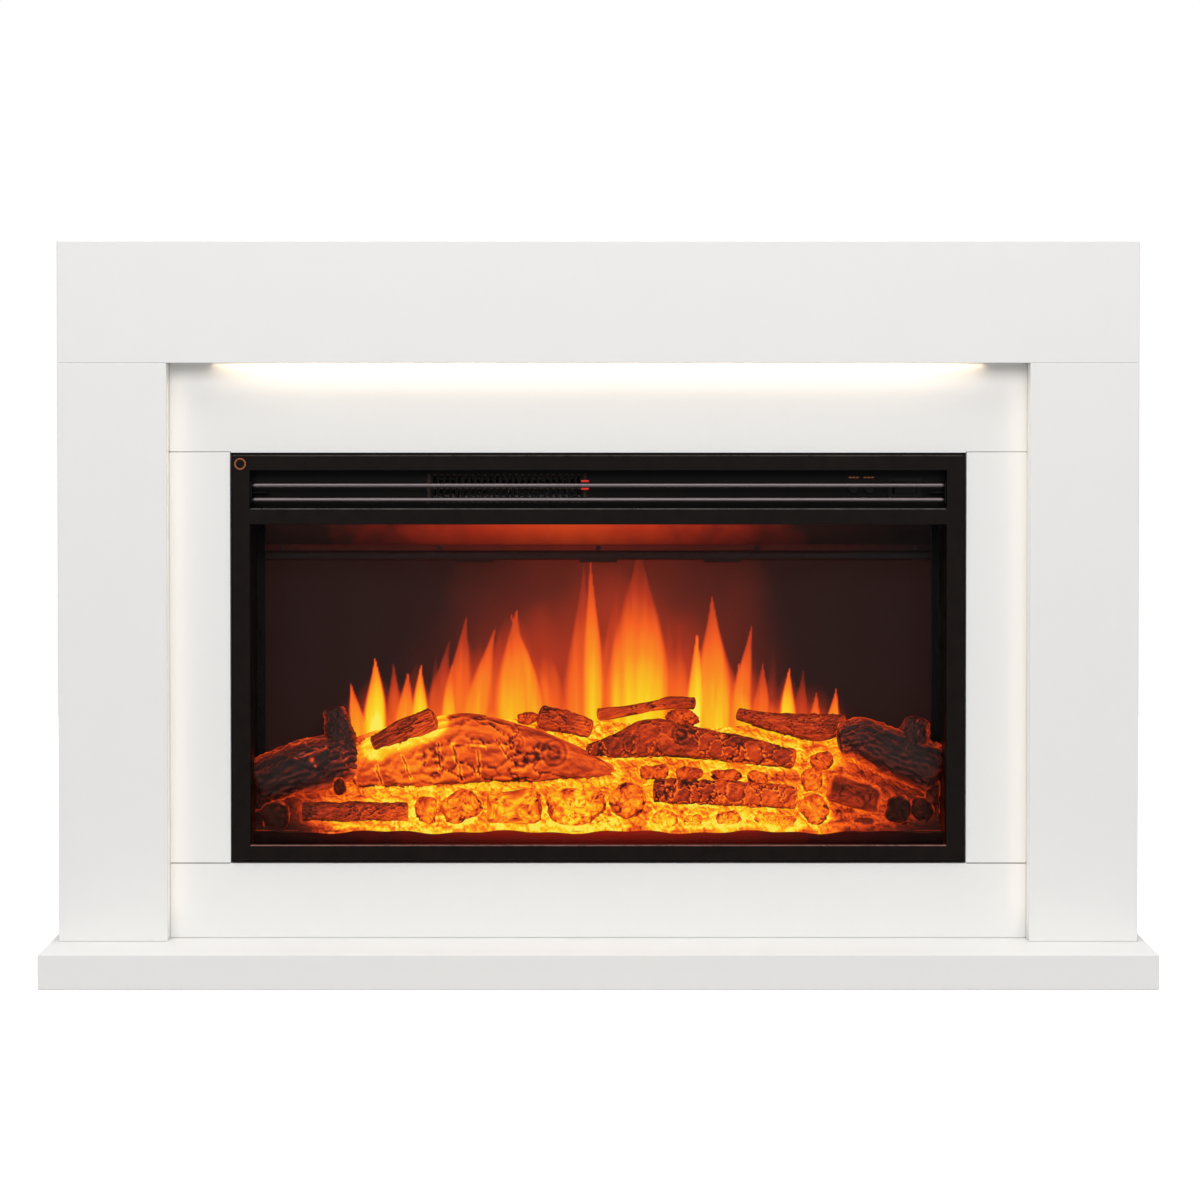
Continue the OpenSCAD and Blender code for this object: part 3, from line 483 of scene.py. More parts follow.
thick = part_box("header_panel")[1].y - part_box("header_panel")[0].y
low, high = boxOf("plinth_top", "plinth_front")
hollowBox("plinthShell", low, high, (low.x + thick, low.y + thick, low.z),
          (high.x - thick, high.y - thick, high.z - thick),
          ("plinth_top", "plinth_front", "plinth_ends", "plinth_rear_rail"))
low, high = boxOf("mantel_top", "mantel_front", "mantel_ends", "mantel_underside")
grooveLow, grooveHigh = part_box("led_channel")
hollowBox("mantelShell", low, high, grooveLow, grooveHigh,
          ("mantel_top", "mantel_front", "mantel_ends", "mantel_underside", "mantel_rear_rail"))


# a leg is a channel, open at the wall
def legShell(name, standsFor):
    a, b = boxOf(*standsFor)
    t = thick
    outline = [(a.x, a.y), (b.x, a.y), (b.x, b.y), (b.x - t, b.y),
               (b.x - t, a.y + t), (a.x + t, a.y + t), (a.x + t, b.y), (a.x, b.y)]
    n = len(outline)
    points = [(x, y, a.z) for x, y in outline] + [(x, y, b.z) for x, y in outline]
    faces = [(i, (i + 1) % n, n + (i + 1) % n, n + i) for i in range(n)]
    for base, turn in ((0, True), (n, False)):
        for cap in ((0, 1, 4, 5), (1, 2, 3, 4), (0, 5, 6, 7)):
            ring = tuple(base + i for i in cap)
            faces.append(ring[::-1] if turn else ring)
    made = rounded(meshPiece(name, points, faces, boardMat), boardEdge)
    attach(made, "surround")
    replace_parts(made, *standsFor)


legShell("leftLegShell", ("left_leg_front", "left_leg_sides"))
legShell("rightLegShell", ("right_leg_front", "right_leg_sides"))
for name in ("header_panel", "left_infill_panel", "right_infill_panel", "footer_panel",
             "support_shelf"):
    rounded(setMaterial(name, boardMat), panelEdge)
print("surround made")

# plain CAD parts with their own finish

fineEdge = {"round": 0.25 * mm, "steps": 2}
trimEdge = {"round": 0.7 * mm, "steps": 3}
finishes = {
    "wall_brackets": zincMat, "assembly_screws": zincMat, "case_screws": darkScrewMat,
    "led_channel": aluMat, "led_strip": ledMat, "rail_brackets": innerMat,
    "control_fascia": innerMat, "outlet_grille": innerMat,
    "heater_element": heaterMat, "fan_housing": caseMat, "fan_impeller": aluMat, "fan_motor": motorMat,
    "heat_button": buttonMat, "flame_button": buttonMat, "switch_body": switchMat,
    "power_rocker": switchMat, "control_board": circuitMat,
    "case_floor": caseMat, "case_sides": caseMat, "case_top": caseMat,
    "case_rear_cover": caseMat, "heater_shelf": caseMat, "side_liners": innerMat, "bed_tray": trayLipReflectionMat,
    "flame_spinner": foilMat, "spinner_drive": motorMat, "light_boards": circuitMat,
    "mains_gland": buttonMat,
}
softened = ("heat_button", "flame_button", "switch_body", "power_rocker", "mains_gland",
            "wall_brackets", "rail_brackets", "bed_tray", "assembly_screws")
for name, mat in finishes.items():
    piece = setMaterial(name, mat)
    if name in softened:
        rounded(piece, fineEdge)
rounded(setMaterial("trim_frame", trimMat), trimEdge)
setMaterial("glass_pane", glassMat)
setMaterial("led_diffuser", ledMat)
print("fittings finished")



# a round bar with turned ends
def turnedRail(name, z, y, end, radius):
    stations = [(-end, 0.0), (-end, radius * rails["tip"]), (-end + rails["chamfer"], radius * 0.96),
                (-end + rails["chamfer"] + 0.6, radius)]
    stations += [(-end + 6 + i * (2 * end - 12) / 24, radius) for i in range(25)]
    stations += [(end - rails["chamfer"] - 0.6, radius), (end - rails["chamfer"], radius * 0.96),
                 (end, radius * rails["tip"]), (end, 0.0)]
    around = 40
    points = []
    for x, r in stations:
        for j in range(around):
            a = 2 * math.pi * j / around
            points.append((x * mm, (y + r * math.cos(a)) * mm, (z + r * math.sin(a)) * mm))
    faces = gridFaces(len(stations), around, True)
    made = meshPiece(name, points, faces, railMat)
    made.data.set_sharp_from_angle(angle=math.radians(32))
    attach(made, "surround")
    return made


low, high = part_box("louvre_rails")
radius = (high.y - low.y) / 2 / mm
railY = (low.y + high.y) / 2 / mm
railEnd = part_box("rail_brackets")[1].x / mm - 2.0
for name, z in (("upperLouvreRail", high.z / mm - radius), ("lowerLouvreRail", low.z / mm + radius)):
    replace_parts(turnedRail(name, z, railY, railEnd, radius), "louvre_rails")

# flat ring on the corner of the trim
cornerRing = {"x": -413, "z": 589, "outer": 6.6, "inner": 5.2, "lift": 0.15}
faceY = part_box("trim_frame")[0].y / mm
count = 64
points = []
for lift in (0.0, cornerRing["lift"]):
    for r in (cornerRing["inner"], cornerRing["outer"]):
        for i in range(count):
            a = 2 * math.pi * i / count
            points.append(((cornerRing["x"] + r * math.cos(a)) * mm, (faceY - lift) * mm,
                           (cornerRing["z"] + r * math.sin(a)) * mm))
faces = []
for i in range(count):
    k = (i + 1) % count
    faces += [(2 * count + i, 2 * count + k, 3 * count + k, 3 * count + i),
              (count + i, count + k, 3 * count + k, 3 * count + i),
              (i, k, 2 * count + k, 2 * count + i), (i, k, count + k, count + i)]
ring = meshPiece("cornerRing", points, faces, paintMat, smooth=False)
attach(ring, "surround")


# a small rounded block, its sides in mm
def smallBox(name, x0, x1, y0, y1, z0, z1, mat, edge=None):
    points = [(x * mm, y * mm, z * mm) for z in (z0, z1) for y in (y0, y1) for x in (x0, x1)]
    faces = [(0, 2, 3, 1), (4, 5, 7, 6), (0, 1, 5, 4), (2, 6, 7, 3), (0, 4, 6, 2), (1, 3, 7, 5)]
    made = meshPiece(name, points, faces, mat)
    rounded(made, edge or fineEdge)
    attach(made, "surround")
    return made


# short dashes over the buttons
dashes = {"z": 572, "height": 1.5, "groups": ((290.5, 3.2, 3), (307.5, 3.4, 3)), "gap": 0.9,
          "lift": 0.12}
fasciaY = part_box("control_fascia")[0].y / mm
markPaint = surface("dashPaint", {**paint, "color": (0.5, 0.12, 0.015)})
for g, (startX, size, number) in enumerate(dashes["groups"]):
    for i in range(number):
        x = startX + i * (size + dashes["gap"])
        smallBox(f"dash{g}{i}", x, x + size, fasciaY - dashes["lift"], fasciaY + 0.1, dashes["z"],
                 dashes["z"] + dashes["height"], markPaint,
                 {"round": 0.05 * mm, "steps": 1})

# thin painted highlight lines where the trim is folded, its edges catching the light; the lowest is
# reddish, a painted reflection of the fire
paintedHighlightLines = {"lift": 0.3, "height": 1.3,
             "lines": ((402, 147.2, (0.34, 0.15, 0.13)), (401, 536.2, (0.12, 0.105, 0.10)),
                       (421, 597.6, (0.06, 0.052, 0.048)))}
for i, (x, z, tone) in enumerate(paintedHighlightLines["lines"]):
    look = {**trim, "color": tone, "metal": 0.9, "rough": 0.3}
    smallBox(f"paintedHighlight{i}", -x, x, faceY - paintedHighlightLines["lift"], faceY + 0.4, z, z + paintedHighlightLines["height"],
             surface(f"paintedHighlight{i}", look), {"round": 0.2 * mm, "steps": 2})

# painted shadow strips in the joints where the side panels meet the boards above and below
jointShade = {"color": (0.075, 0.072, 0.07), "top": 1.5, "foot": 1.0, "short": 1.0, "behind": 0.1}
jointShadeMat = surface("jointShadow", {**board, "color": jointShade["color"]})
for side in ("left", "right"):
    low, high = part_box(f"{side}_infill_panel")
    for end, z, height in (("Top", high.z / mm, jointShade["top"]), ("Foot", low.z / mm, jointShade["foot"])):
        smallBox(f"{side}JointShade{end}", low.x / mm + jointShade["short"], high.x / mm - jointShade["short"],
                 low.y / mm + jointShade["behind"], low.y / mm + 2,
                 z - height / 2, z + height / 2, jointShadeMat,
                 {"round": 0.05 * mm, "steps": 1})

# small red light beside the heater
heatX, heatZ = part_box("outlet_grille")[1].x / mm - 9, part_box("outlet_grille")[1].z / mm - 12
indicator, tree, shader = startMaterial("indicator")
addSurface(tree, shader, {**paint, "color": (0.3, 0.01, 0.005)})
shader.inputs["Emission Color"].default_value = (1.0, 0.03, 0.015, 1)
shader.inputs["Emission Strength"].default_value = 0.45
for i, lift in enumerate((0, -9)):
    smallBox(f"indicator{i}", heatX - 5, heatX + 4, fasciaY - 1.0, fasciaY,
             heatZ + lift, heatZ + lift + 2.2, indicator)

# rear rail: a panel above, a screwed strip, and a folded lip with three tabs, all carrying painted light
# from the fire, brightest in the middle
low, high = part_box("screen_rail")
railBack = high.y / mm
plateY = low.y / mm
x1 = high.x / mm
panelTop, tabLow = high.z / mm, low.z / mm
lipLow = tabLow + 3


# a folded strip as wide as the screen rail, from its profile of (y, z) in mm
def foldedRail(name, profile, mat):
    n = len(profile)
    points = [(s * x1 * mm, y * mm, z * mm) for s in (-1, 1) for y, z in profile]
    faces = [(i, (i + 1) % n, n + (i + 1) % n, n + i)[::-1] for i in range(n)]
    faces += [tuple(range(n)), tuple(range(2 * n - 1, n - 1, -1))]
    made = meshPiece(name, points, faces, mat)
    rounded(made, fineEdge)
    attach(made, "surround")
    return made


rearRail = {"lipTop": 8, "fold": 11, "stripTop": 16, "bandFoot": 18, "tabs": (-145, 0, 146),
            "tabHalf": 22}
fold, stripTop, bandFoot = (lipLow + rearRail[k] for k in ("fold", "stripTop", "bandFoot"))
bandOutline = [(plateY + 1.2, bandFoot), (plateY + 1.2, panelTop), (railBack, panelTop),
               (railBack, bandFoot)]
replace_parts(foldedRail("rearBandFireLit", bandOutline, bandFireLightMat), "screen_rail")
stripOutline = [(plateY, fold), (plateY, stripTop), (plateY + 1.6, stripTop), (plateY + 1.6, bandFoot),
                (railBack, bandFoot), (railBack, fold)]
foldedRail("railStripFireLit", stripOutline, stripFireLightMat)
lipOutline = [(plateY - 2.2, lipLow + 1), (plateY - 2.2, lipLow + rearRail["lipTop"]), (plateY, fold),
              (railBack, fold), (railBack, lipLow), (plateY - 1.2, lipLow)]
foldedRail("railLipFireLit", lipOutline, railLipFireLightMat)
for i, x in enumerate(rearRail["tabs"]):
    smallBox(f"railTab{i}", x - rearRail["tabHalf"], x + rearRail["tabHalf"], plateY - 2.0, plateY,
             tabLow, lipLow + 1, railLipFireLightMat)
print("rails and marks made")

# flame picture
# each tongue: base x, tip x, tip z, half width, heat at base, heat at tip, strength
tongues = (
    (-222, -214, 352, 26, 0.50, 0.22, 0.7), (-150, -140, 400, 30, 0.56, 0.24, 0.8),
    (-100, -100, 450, 34, 0.56, 0.22, 0.8), (-105, -118, 478, 24, 0.42, 0.20, 0.6),
    (-62, -74, 410, 26, 0.58, 0.26, 0.85), (-18, -14, 462, 26, 0.50, 0.24, 0.8),
    (30, 34, 470, 18, 0.70, 0.24, 0.8), (50, 48, 492, 30, 0.86, 0.26, 0.95),
    (92, 92, 448, 28, 0.54, 0.22, 0.75), (136, 134, 410, 26, 0.60, 0.30, 0.8),
    (178, 178, 372, 24, 0.54, 0.24, 0.75), (226, 224, 342, 26, 0.50, 0.24, 0.7),
    (-284, -292, 328, 8, 0.66, 0.50, 1.0), (-262, -264, 358, 11, 0.88, 0.66, 1.0),
    (-240, -242, 352, 8, 0.62, 0.42, 0.7), (-228, -225, 342, 9, 0.70, 0.52, 1.0),
    (-212, -209, 350, 8, 0.92, 0.66, 1.0), (-196, -192, 362, 7, 0.58, 0.34, 0.6),
    (-190, -176, 380, 11, 0.58, 0.36, 0.75), (-180, -172, 350, 7, 0.82, 0.6, 0.95),
    (-170, -156, 408, 13, 0.60, 0.36, 0.9), (-150, -122, 392, 11, 0.70, 0.46, 0.95),
    (-128, -111, 478, 13, 0.50, 0.24, 0.55), (-104, -96, 416, 15, 0.74, 0.46, 1.0),
    (-70, -104, 412, 8, 0.80, 0.52, 0.9), (-46, -86, 380, 8, 0.66, 0.44, 0.8),
    (-30, -52, 360, 12, 0.46, 0.34, 0.8), (-22, -17, 468, 13, 0.62, 0.34, 0.85),
    (-4, -10, 476, 9, 0.80, 0.46, 0.95), (10, 26, 472, 12, 0.52, 0.32, 0.8),
    (26, 22, 400, 7, 0.78, 0.5, 0.9), (52, 49, 478, 17, 0.74, 0.28, 0.75),
    (70, 82, 444, 14, 0.66, 0.30, 0.7), (92, 96, 396, 12, 0.72, 0.40, 0.8),
    (112, 117, 389, 8, 0.94, 0.68, 1.0), (136, 134, 432, 16, 0.74, 0.44, 1.0),
    (142, 140, 380, 9, 0.88, 0.60, 0.9), (166, 181, 397, 9, 0.62, 0.42, 0.95),
    (172, 166, 352, 8, 0.84, 0.56, 0.9), (190, 194, 352, 9, 0.60, 0.42, 0.9),
    (206, 207, 370, 8, 0.46, 0.26, 0.6), (222, 226, 346, 8, 0.92, 0.66, 1.0),
    (238, 242, 344, 8, 0.60, 0.36, 0.7), (254, 258, 318, 7, 0.62, 0.48, 0.9),
    (276, 281, 322, 7, 0.78, 0.56, 1.0), (-60, -66, 440, 16, 0.42, 0.22, 0.8),
    (-2, 4, 430, 16, 0.48, 0.26, 0.9), (98, 100, 430, 20, 0.44, 0.22, 0.8),
)
screen = {"columns": 480, "rows": 200, "x": 399, "z0": 152, "z1": 475, "y": 58.8, "haze": 0.34,
          "foot": 246.0, "fat": 1.3, "lift": 0.07, "sway": 1.0, "waver": 7, "halo": 0.38,
          "footHaze": (284, 46), "footHeat": 0.68, "highHaze": (215, 240), "dark": 0.045}

n, m = screen["columns"], screen["rows"]
gx, gz = np.meshgrid(np.linspace(-screen["x"], screen["x"], n),
                     np.linspace(screen["z0"], screen["z1"], m))
px, pz = gx.ravel(), gz.ravel()
wave = layered(np.stack([px / 60, pz / 90, px * 0], 1), 5)
streak = layered(np.stack([px / 7, pz / 110, px * 0 + 3], 1), 8)
heat = np.zeros(len(px))
for i, (x0, x1, top, half, hot, cool, force) in enumerate(tongues):
    foot = screen["foot"]
    t = (pz - foot) / (top - foot)
    tt = np.clip(t, 0, 1)
    sway = math.sin(i * 2.7) * 3.0 * screen["sway"]
    lean = sway * np.sin(tt * 4.5 + i) * np.clip(1.15 - tt, 0, 1) * np.clip(tt * 3, 0, 1)
    middle = x0 + (x1 - x0) * tt ** 1.5 + lean + wave * screen["waver"] * (1 - tt)
    width = half * screen["fat"] * (1 - tt ** 1.7) ** 0.85 * (0.85 + 0.5 * np.sin(math.pi * tt)) + 0.3
    off = np.abs(px - middle) / width
    body = ease(1.06, 0.55, off) * ease(1.0, 0.985, t) * (t > -0.6)
    value = hot + (cool - hot) * ease(0.05, 0.95, tt) + screen["lift"]
    value = value * (1 + 0.10 * (1 - np.clip(off, 0, 1)) ** 2) * (1 + 0.3 * streak)
    value = value + 0.025 * np.sin(px / 3.1 + tt * 4 + i) * (1 - tt)
    tip = force * ease(1.02, 0.55, tt) + (1 - ease(1.02, 0.55, tt)) * force * 0.72
    heat = heat + (np.maximum(value * tip, heat) - heat) * body
    fade = ease(1.05, 0.5, t)
    soft = np.exp(-((px - middle) / (width * 2.0)) ** 2) * screen["halo"] * force * value * fade
    heat = np.maximum(heat, soft)
# warm haze low down and in the middle
lowSize, midSize = screen["footHaze"], screen["highHaze"]
low = np.exp(-(np.clip(pz - 268, 0, 999) / lowSize[1]) ** 2)
low = low * np.exp(-(np.abs(px + 5) / lowSize[0]) ** 8) * screen["footHeat"]
mid = np.exp(-(np.abs(px - 5) / midSize[0]) ** 2.6)
mid = mid * np.exp(-((np.clip(pz, 300, 999) - 300) / midSize[1]) ** 2) * screen["haze"]
far = screen["dark"] + 0.10 * np.exp(-(px / 210) ** 2)
heat = np.maximum(np.maximum(heat, low * (1 + 0.5 * streak)), mid * (0.95 + 0.5 * wave))
heat = np.maximum(heat, far)
front = np.stack([px * mm, np.full(len(px), screen["y"] * mm), pz * mm], 1)
faces = gridFaces(m, n, False)
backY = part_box("flame_screen")[1].y
sx, z0, z1 = screen["x"] * mm, screen["z0"] * mm, screen["z1"] * mm
points = list(front)
first = len(points)
points += [(-sx, backY, z0), (sx, backY, z0), (sx, backY, z1), (-sx, backY, z1)]
faces.append((first + 1, first, first + 3, first + 2))
picture = meshPiece("flamePicture", points, faces, screenMat,
                    attributes={"glow": list(heat) + [0.05] * 4})
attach(picture, "surround")
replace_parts(picture, "flame_screen")
print("flame picture made")

# logs
logGrid = {"step": 1.5, "around": 104, "capRows": 9}
# each log: path of (x, z, radius) in mm, depth of its axis, squash of the depth, and heat from end to end
logSet = {
    "leftCharredLog": {"cap": 0.16, "node": "left_charred_log", "slot": "charred_log", "y": 24,
                       "squash": 0.72, "seed": 3,
                       "path": ((-396, 214, 28), (-357, 229, 30), (-312, 241, 30), (-284, 247, 25)),
                       "heat": (0.05, 0.05, 0.07, 0.15), "rim": 0.38, "plates": (24, 15), "crack": 3.0,
                       "rough": 2.2, "glowCracks": 0.25, "seams": ((-352, 246, -318, 258),),
                       "glints": ((-334, 243, 3.4, 0.6), (-330, 236, 2.0, 0.5)),
                       "stub": {"path": ((-298, 246, 24), (-303, 272, 17), (-309, 301, 10)),
                                "heat": 0.05}},
    "rightCharredLog": {"node": "right_charred_log", "slot": "charred_log", "y": 24, "squash": 0.72,
                        "seed": 11,
                        "path": ((288, 264, 21), (305, 267, 24), (342, 251, 28), (391, 231, 30)),
                        "heat": (0.16, 0.09, 0.06, 0.05), "rim": 0.40, "plates": (30, 17), "crack": 2.4,
                        "rough": 1.5, "glowCracks": 0.25,
                        "stub": {"path": ((362, 244, 26), (369, 266, 20), (374, 286, 14)),
                                 "heat": 0.05}},
    "leftMainLog": {"node": "left_main_log", "slot": "bark_log", "y": 27, "squash": 0.6, "seed": 21,
                    "path": ((-281, 236, 31), (-222, 245, 41), (-150, 254, 44), (-105, 247, 38),
                             (-55, 240, 29), (-15, 231, 19), (14, 224, 10)),
                    "heat": (0.55, 0.53, 0.49, 0.46, 0.42, 0.42, 0.45), "rim": 0.12,
                    "plates": (46, 30), "crack": 1.7, "rough": 0.95, "glowCracks": 0.8,
                    "open": 0.02, "foot": 0.055, "knots": ((-52, 250, 15), (-96, 262, 9)),
                    "seams": ((-228, 247, -219, 221), (-187, 262, -185, 229),
                              (-170, 260, -159, 219), (-170, 260, -132, 257),
                              (-140, 252, -139, 224), (-258, 236, -254, 214),
                              (-120, 268, -108, 250))},
    "rightMainLog": {"node": "right_main_log", "slot": "bark_log", "y": 26, "squash": 0.72, "seed": 33,
                     "path": ((-12, 252, 6), (20, 256, 14), (63, 268, 24), (100, 262, 19),
                              (150, 256, 17), (227, 242, 12)),
                     "heat": (0.22, 0.29, 0.34, 0.32, 0.33, 0.38), "rim": 0.14,
                     "plates": (18, 26), "crack": 1.6, "rough": 0.8, "glowCracks": 0.7,
                     "open": 0.06, "lit": 0.42, "knots": ((97, 272, 12),)},
    "upperLogA": {"node": "upper_logs", "slot": "bark_log", "y": 17, "squash": 0.9, "seed": 41,
                  "path": ((-260, 258, 12), (-224, 275, 16), (-194, 287, 15)),
                  "heat": (0.27, 0.36, 0.38), "rim": 0.12, "plates": (30, 8), "crack": 2.0,
                  "rough": 1.0, "glowCracks": 0.2},
    "upperLogB": {"node": "upper_logs", "slot": "bark_log", "y": 30, "squash": 0.9, "seed": 43,
                  "path": ((-66, 291, 13), (-40, 285, 13), (-11, 277, 11)), "heat": (0.33, 0.36, 0.42),
                  "rim": 0.12, "plates": (12, 9), "crack": 1.8, "rough": 1.0, "glowCracks": 0.35},
    "upperLogC": {"node": "upper_logs", "slot": "bark_log", "y": 40, "squash": 0.9, "seed": 47,
                  "path": ((1, 292, 7), (40, 298, 6), (72, 304, 6), (84, 307, 7), (112, 306, 7)),
                  "heat": (0.34, 0.42, 0.44, 0.30, 0.28), "rim": 0.10, "plates": (14, 6), "crack": 1.2,
                  "rough": 0.7, "glowCracks": 0.3},
    "upperLogD": {"node": "upper_logs", "slot": "bark_log", "y": 38, "squash": 0.8, "seed": 53,
                  "path": ((165, 293, 7), (200, 284, 10), (250, 278, 16), (288, 280, 13)),
                  "heat": (0.30, 0.34, 0.34, 0.29), "rim": 0.14, "plates": (12, 8), "crack": 1.6,
                  "rough": 1.0, "glowCracks": 0.35},
    "frontLogA": {"cap": 0.16, "node": "front_logs", "slot": "bark_log", "y": 2, "squash": 0.8,
                  "seed": 61, "path": ((-344, 182, 11), (-285, 182, 12), (-223, 182, 11)),
                  "heat": (0.22, 0.32, 0.42), "rim": 0.14, "plates": (12, 10), "crack": 1.1,
                  "rough": 1.0, "glowCracks": 0.45},
    "frontLogB": {"cap": 0.16, "node": "front_logs", "slot": "bark_log", "y": 3, "squash": 0.8,
                  "seed": 67, "path": ((66, 207, 14), (140, 205, 15), (230, 199, 13)),
                  "heat": (0.30, 0.36, 0.44), "rim": 0.16, "plates": (14, 26), "crack": 1.4,
                  "rough": 0.7, "glowCracks": 0.7, "open": 0.08, "lit": 0.42},
}


# distance from each point to the outline of a log
def pathGap(x, z, path):
    best = np.full(len(x), 999.0)
    for (xa, za, ra), (xb, zb, rb) in zip(path[:-1], path[1:]):
        dx, dz = xb - xa, zb - za
        t = np.clip(((x - xa) * dx + (z - za) * dz) / (dx * dx + dz * dz), 0, 1)
        best = np.minimum(best, np.hypot(x - xa - t * dx, z - za - t * dz) - ra - (rb - ra) * t)
    return best


# surface points and heat of one log: rings round a smoothed path, with plates, cracks and ridges
def logPoints(look, path, seed, heats):
    path = np.array(path, float)
    run = np.concatenate([[0], np.cumsum(np.hypot(np.diff(path[:, 0]), np.diff(path[:, 1])))])
    length = run[-1]
    rings = int(length / logGrid["step"]) + 2
    along = np.linspace(0, length, rings)
    cx, cz, cr = (np.interp(along, run, path[:, i]) for i in range(3))
    hh = np.interp(along, run, heats)
    kernel = np.hanning(max(5, rings // 8 * 2 + 1))
    kernel /= kernel.sum()
    pad = len(kernel) // 2

    def smoothed(v):
        return np.convolve(np.pad(v, pad, mode="reflect", reflect_type="odd"), kernel, "valid")

    cx, cz, cr = smoothed(cx), smoothed(cz), smoothed(cr)
    # rounded ends
    quarter = np.linspace(0, math.pi / 2, logGrid["capRows"])
    caps = np.stack([np.sin(quarter) * look.get("cap", 0.4), np.maximum(np.cos(quarter), 0.02)], 1)
    dirX, dirZ = np.gradient(cx), np.gradient(cz)
    size = np.hypot(dirX, dirZ)
    dirX, dirZ = dirX / size, dirZ / size

    def endRings(i, way, start):
        return [(cx[i] + way * dirX[i] * a * cr[i], cz[i] + way * dirZ[i] * a * cr[i], cr[i] * f,
                 dirX[i], dirZ[i], hh[i], start + way * a * cr[i], 1 - f) for a, f in caps[1:]]

    body = [(cx[i], cz[i], cr[i], dirX[i], dirZ[i], hh[i], along[i], 0.0) for i in range(rings)]
    rows = np.array(endRings(0, -1, 0)[::-1] + body + endRings(-1, 1, length))
    around = logGrid["around"]
    theta = np.linspace(0, 2 * math.pi, around, endpoint=False)
    s, c = np.sin(theta)[None, :], np.cos(theta)[None, :]
    ringSize = rows[:, 2:3]
    q = np.stack([np.broadcast_to(rows[:, 6:7] / look["plates"][0], (len(rows), around)) + seed,
                  ringSize * s / look["plates"][1] + 7.1, ringSize * c / look["plates"][1] + 3.3],
                  2).reshape(-1, 3)
    warp = np.stack([layered(q * 1.3 + 5 * k, seed + 2 + k, 4) for k in range(3)], 1)
    border, label = cells(q + warp * 1.5, seed)
    opened = ease(-0.12, 0.16, layered(q * 0.6, seed + 23)
                  + look.get("open", 0.35 * look["glowCracks"] - 0.1))
    crack = np.exp(-(border / 0.05) ** 2) * opened
    wide = np.exp(-(border / 0.14) ** 2) * opened
    beside = np.exp(-((border - 0.11) / 0.05) ** 2) * opened
    fine = layered(q * 5.0 * np.array([0.7, 1, 1]), seed + 3, 4)
    lump = layered(q * 0.7, seed + 4)
    ridge = 1 - np.abs(layered(q * np.array([0.9, 3.0, 3.0]), seed + 6, 4)) * 4
    bump = (-look["crack"] * crack - 0.5 * look["crack"] * wide + (label - 0.5) * look["rough"] * 0.8
            + fine * look["rough"] * 2.6 + ridge * look["rough"] * 0.5 + lump * 4.5)
    capRow = np.repeat(rows[:, 7], around)
    thickness = ringSize.repeat(around, 1).ravel()
    bump *= np.clip(1 - capRow * 1.2, 0.25, 1) * np.clip(thickness / 12, 0.2, 1)
    skinSize = np.maximum(thickness + bump, 0.05)
    sinOut, cosOut = np.tile(s.ravel(), len(rows)), np.tile(c.ravel(), len(rows))
    ax, az = np.repeat(rows[:, 3], around), np.repeat(rows[:, 4], around)
    atX = np.repeat(rows[:, 0], around) - az * skinSize * sinOut
    atZ = np.repeat(rows[:, 1], around) + ax * skinSize * sinOut
    atY = look["y"] + skinSize * cosOut * look["squash"]
    own = np.repeat(rows[:, 5], around)
    relief = bump.reshape(len(rows), around)
    # lean: the slope of the relief, added to the heat below through tone and lit as painted light and
    # shade on the bark
    lean = (np.roll(relief, -1, 1) - np.roll(relief, 1, 1)) + 0.7 * np.gradient(relief, axis=0)
    lean = np.clip(lean.ravel() / (0.55 * look["rough"]), -1, 1) * np.sign(-cosOut)
    tone = (label - 0.5) * 0.22 + lump * 0.45 + fine * 0.34 - (1 - ridge) * 0.05 + lean * 0.24
    lit = beside * np.where(lean > 0, 1.0, 0.3) * look.get("lit", 0.06 + 0.20 * own)
    heat = own * (1 + tone) - crack * own * 0.80 + lit * look["glowCracks"]
    capRings = 0.12 * np.sin(capRow * 20) * (capRow > 0.05) * (own > 0.15)
    heat += capRings + look.get("foot", 0) * sinOut * np.sign(ax)
    # light comes through the thin skin along the edges of dark logs, which also get painted light and
    # shade from their relief; lit logs get painted shade along their edges, deepest along the underside
    edge = ease(0.60, 1.0, np.abs(sinOut)) * (0.45 + 1.4 * np.clip(fine + 0.5, 0, 1))
    heat += (0.075 * lean + 0.17 * fine + 0.015 + crack * 0.34 * ease(0.0, 0.2, lump)) * (own < 0.2)
    heat += edge * look["rim"] * np.clip(own * 1.5, 0.5, 1.0) * (own < 0.2)
    heat -= edge * own * (0.16 + 0.26 * (sinOut * np.sign(ax) < 0)) * (own >= 0.2)
    for other in logSet.values():
        if other["y"] < look["y"] - 3 and other["slot"] == "bark_log":
            gap = pathGap(atX, atZ, np.array(other["path"], float))
            heat += 0.40 * np.exp(-(np.clip(gap, 0, 99) / 4.5) ** 2) * (own > 0.15)
    for x0, z0, x1, z1 in look.get("seams", ()):
        gap = pathGap(atX + fine * 5 + lump * 5, atZ + fine * 4,
                      np.array(((x0, z0, 0), (x1, z1, 0)), float))
        heat += 0.30 * np.exp(-((gap - 1.7) / 1.0) ** 2) - 0.5 * own * np.exp(-(gap / 0.9) ** 2)
    for gx0, gz0, size, hot in look.get("glints", ()):
        heat = np.maximum(heat, hot * np.exp(-(((atX - gx0) ** 2 + (atZ - gz0) ** 2) / size ** 2))
                          * (1 + fine))
    for kx, kz, kr in look.get("knots", ()):
        d = np.hypot(atX - kx, atZ - kz) / kr * (1 + 0.5 * lump)
        inside = ease(1.25, 0.85, d)
        growthRings = -0.22 + 0.22 * np.sin(d * 11)
        heat += inside * own * growthRings + 0.25 * np.exp(-((d - 1.1) / 0.12) ** 2) * own
    places = np.stack([atX, atY, atZ], 1) * mm
    return places, heat, len(rows), around


# keeps the logs behind the glass and in front of the picture
def limitDepth(places):
    places[:, 1] = np.clip(places[:, 1], glassBack, pictureY)
    return places


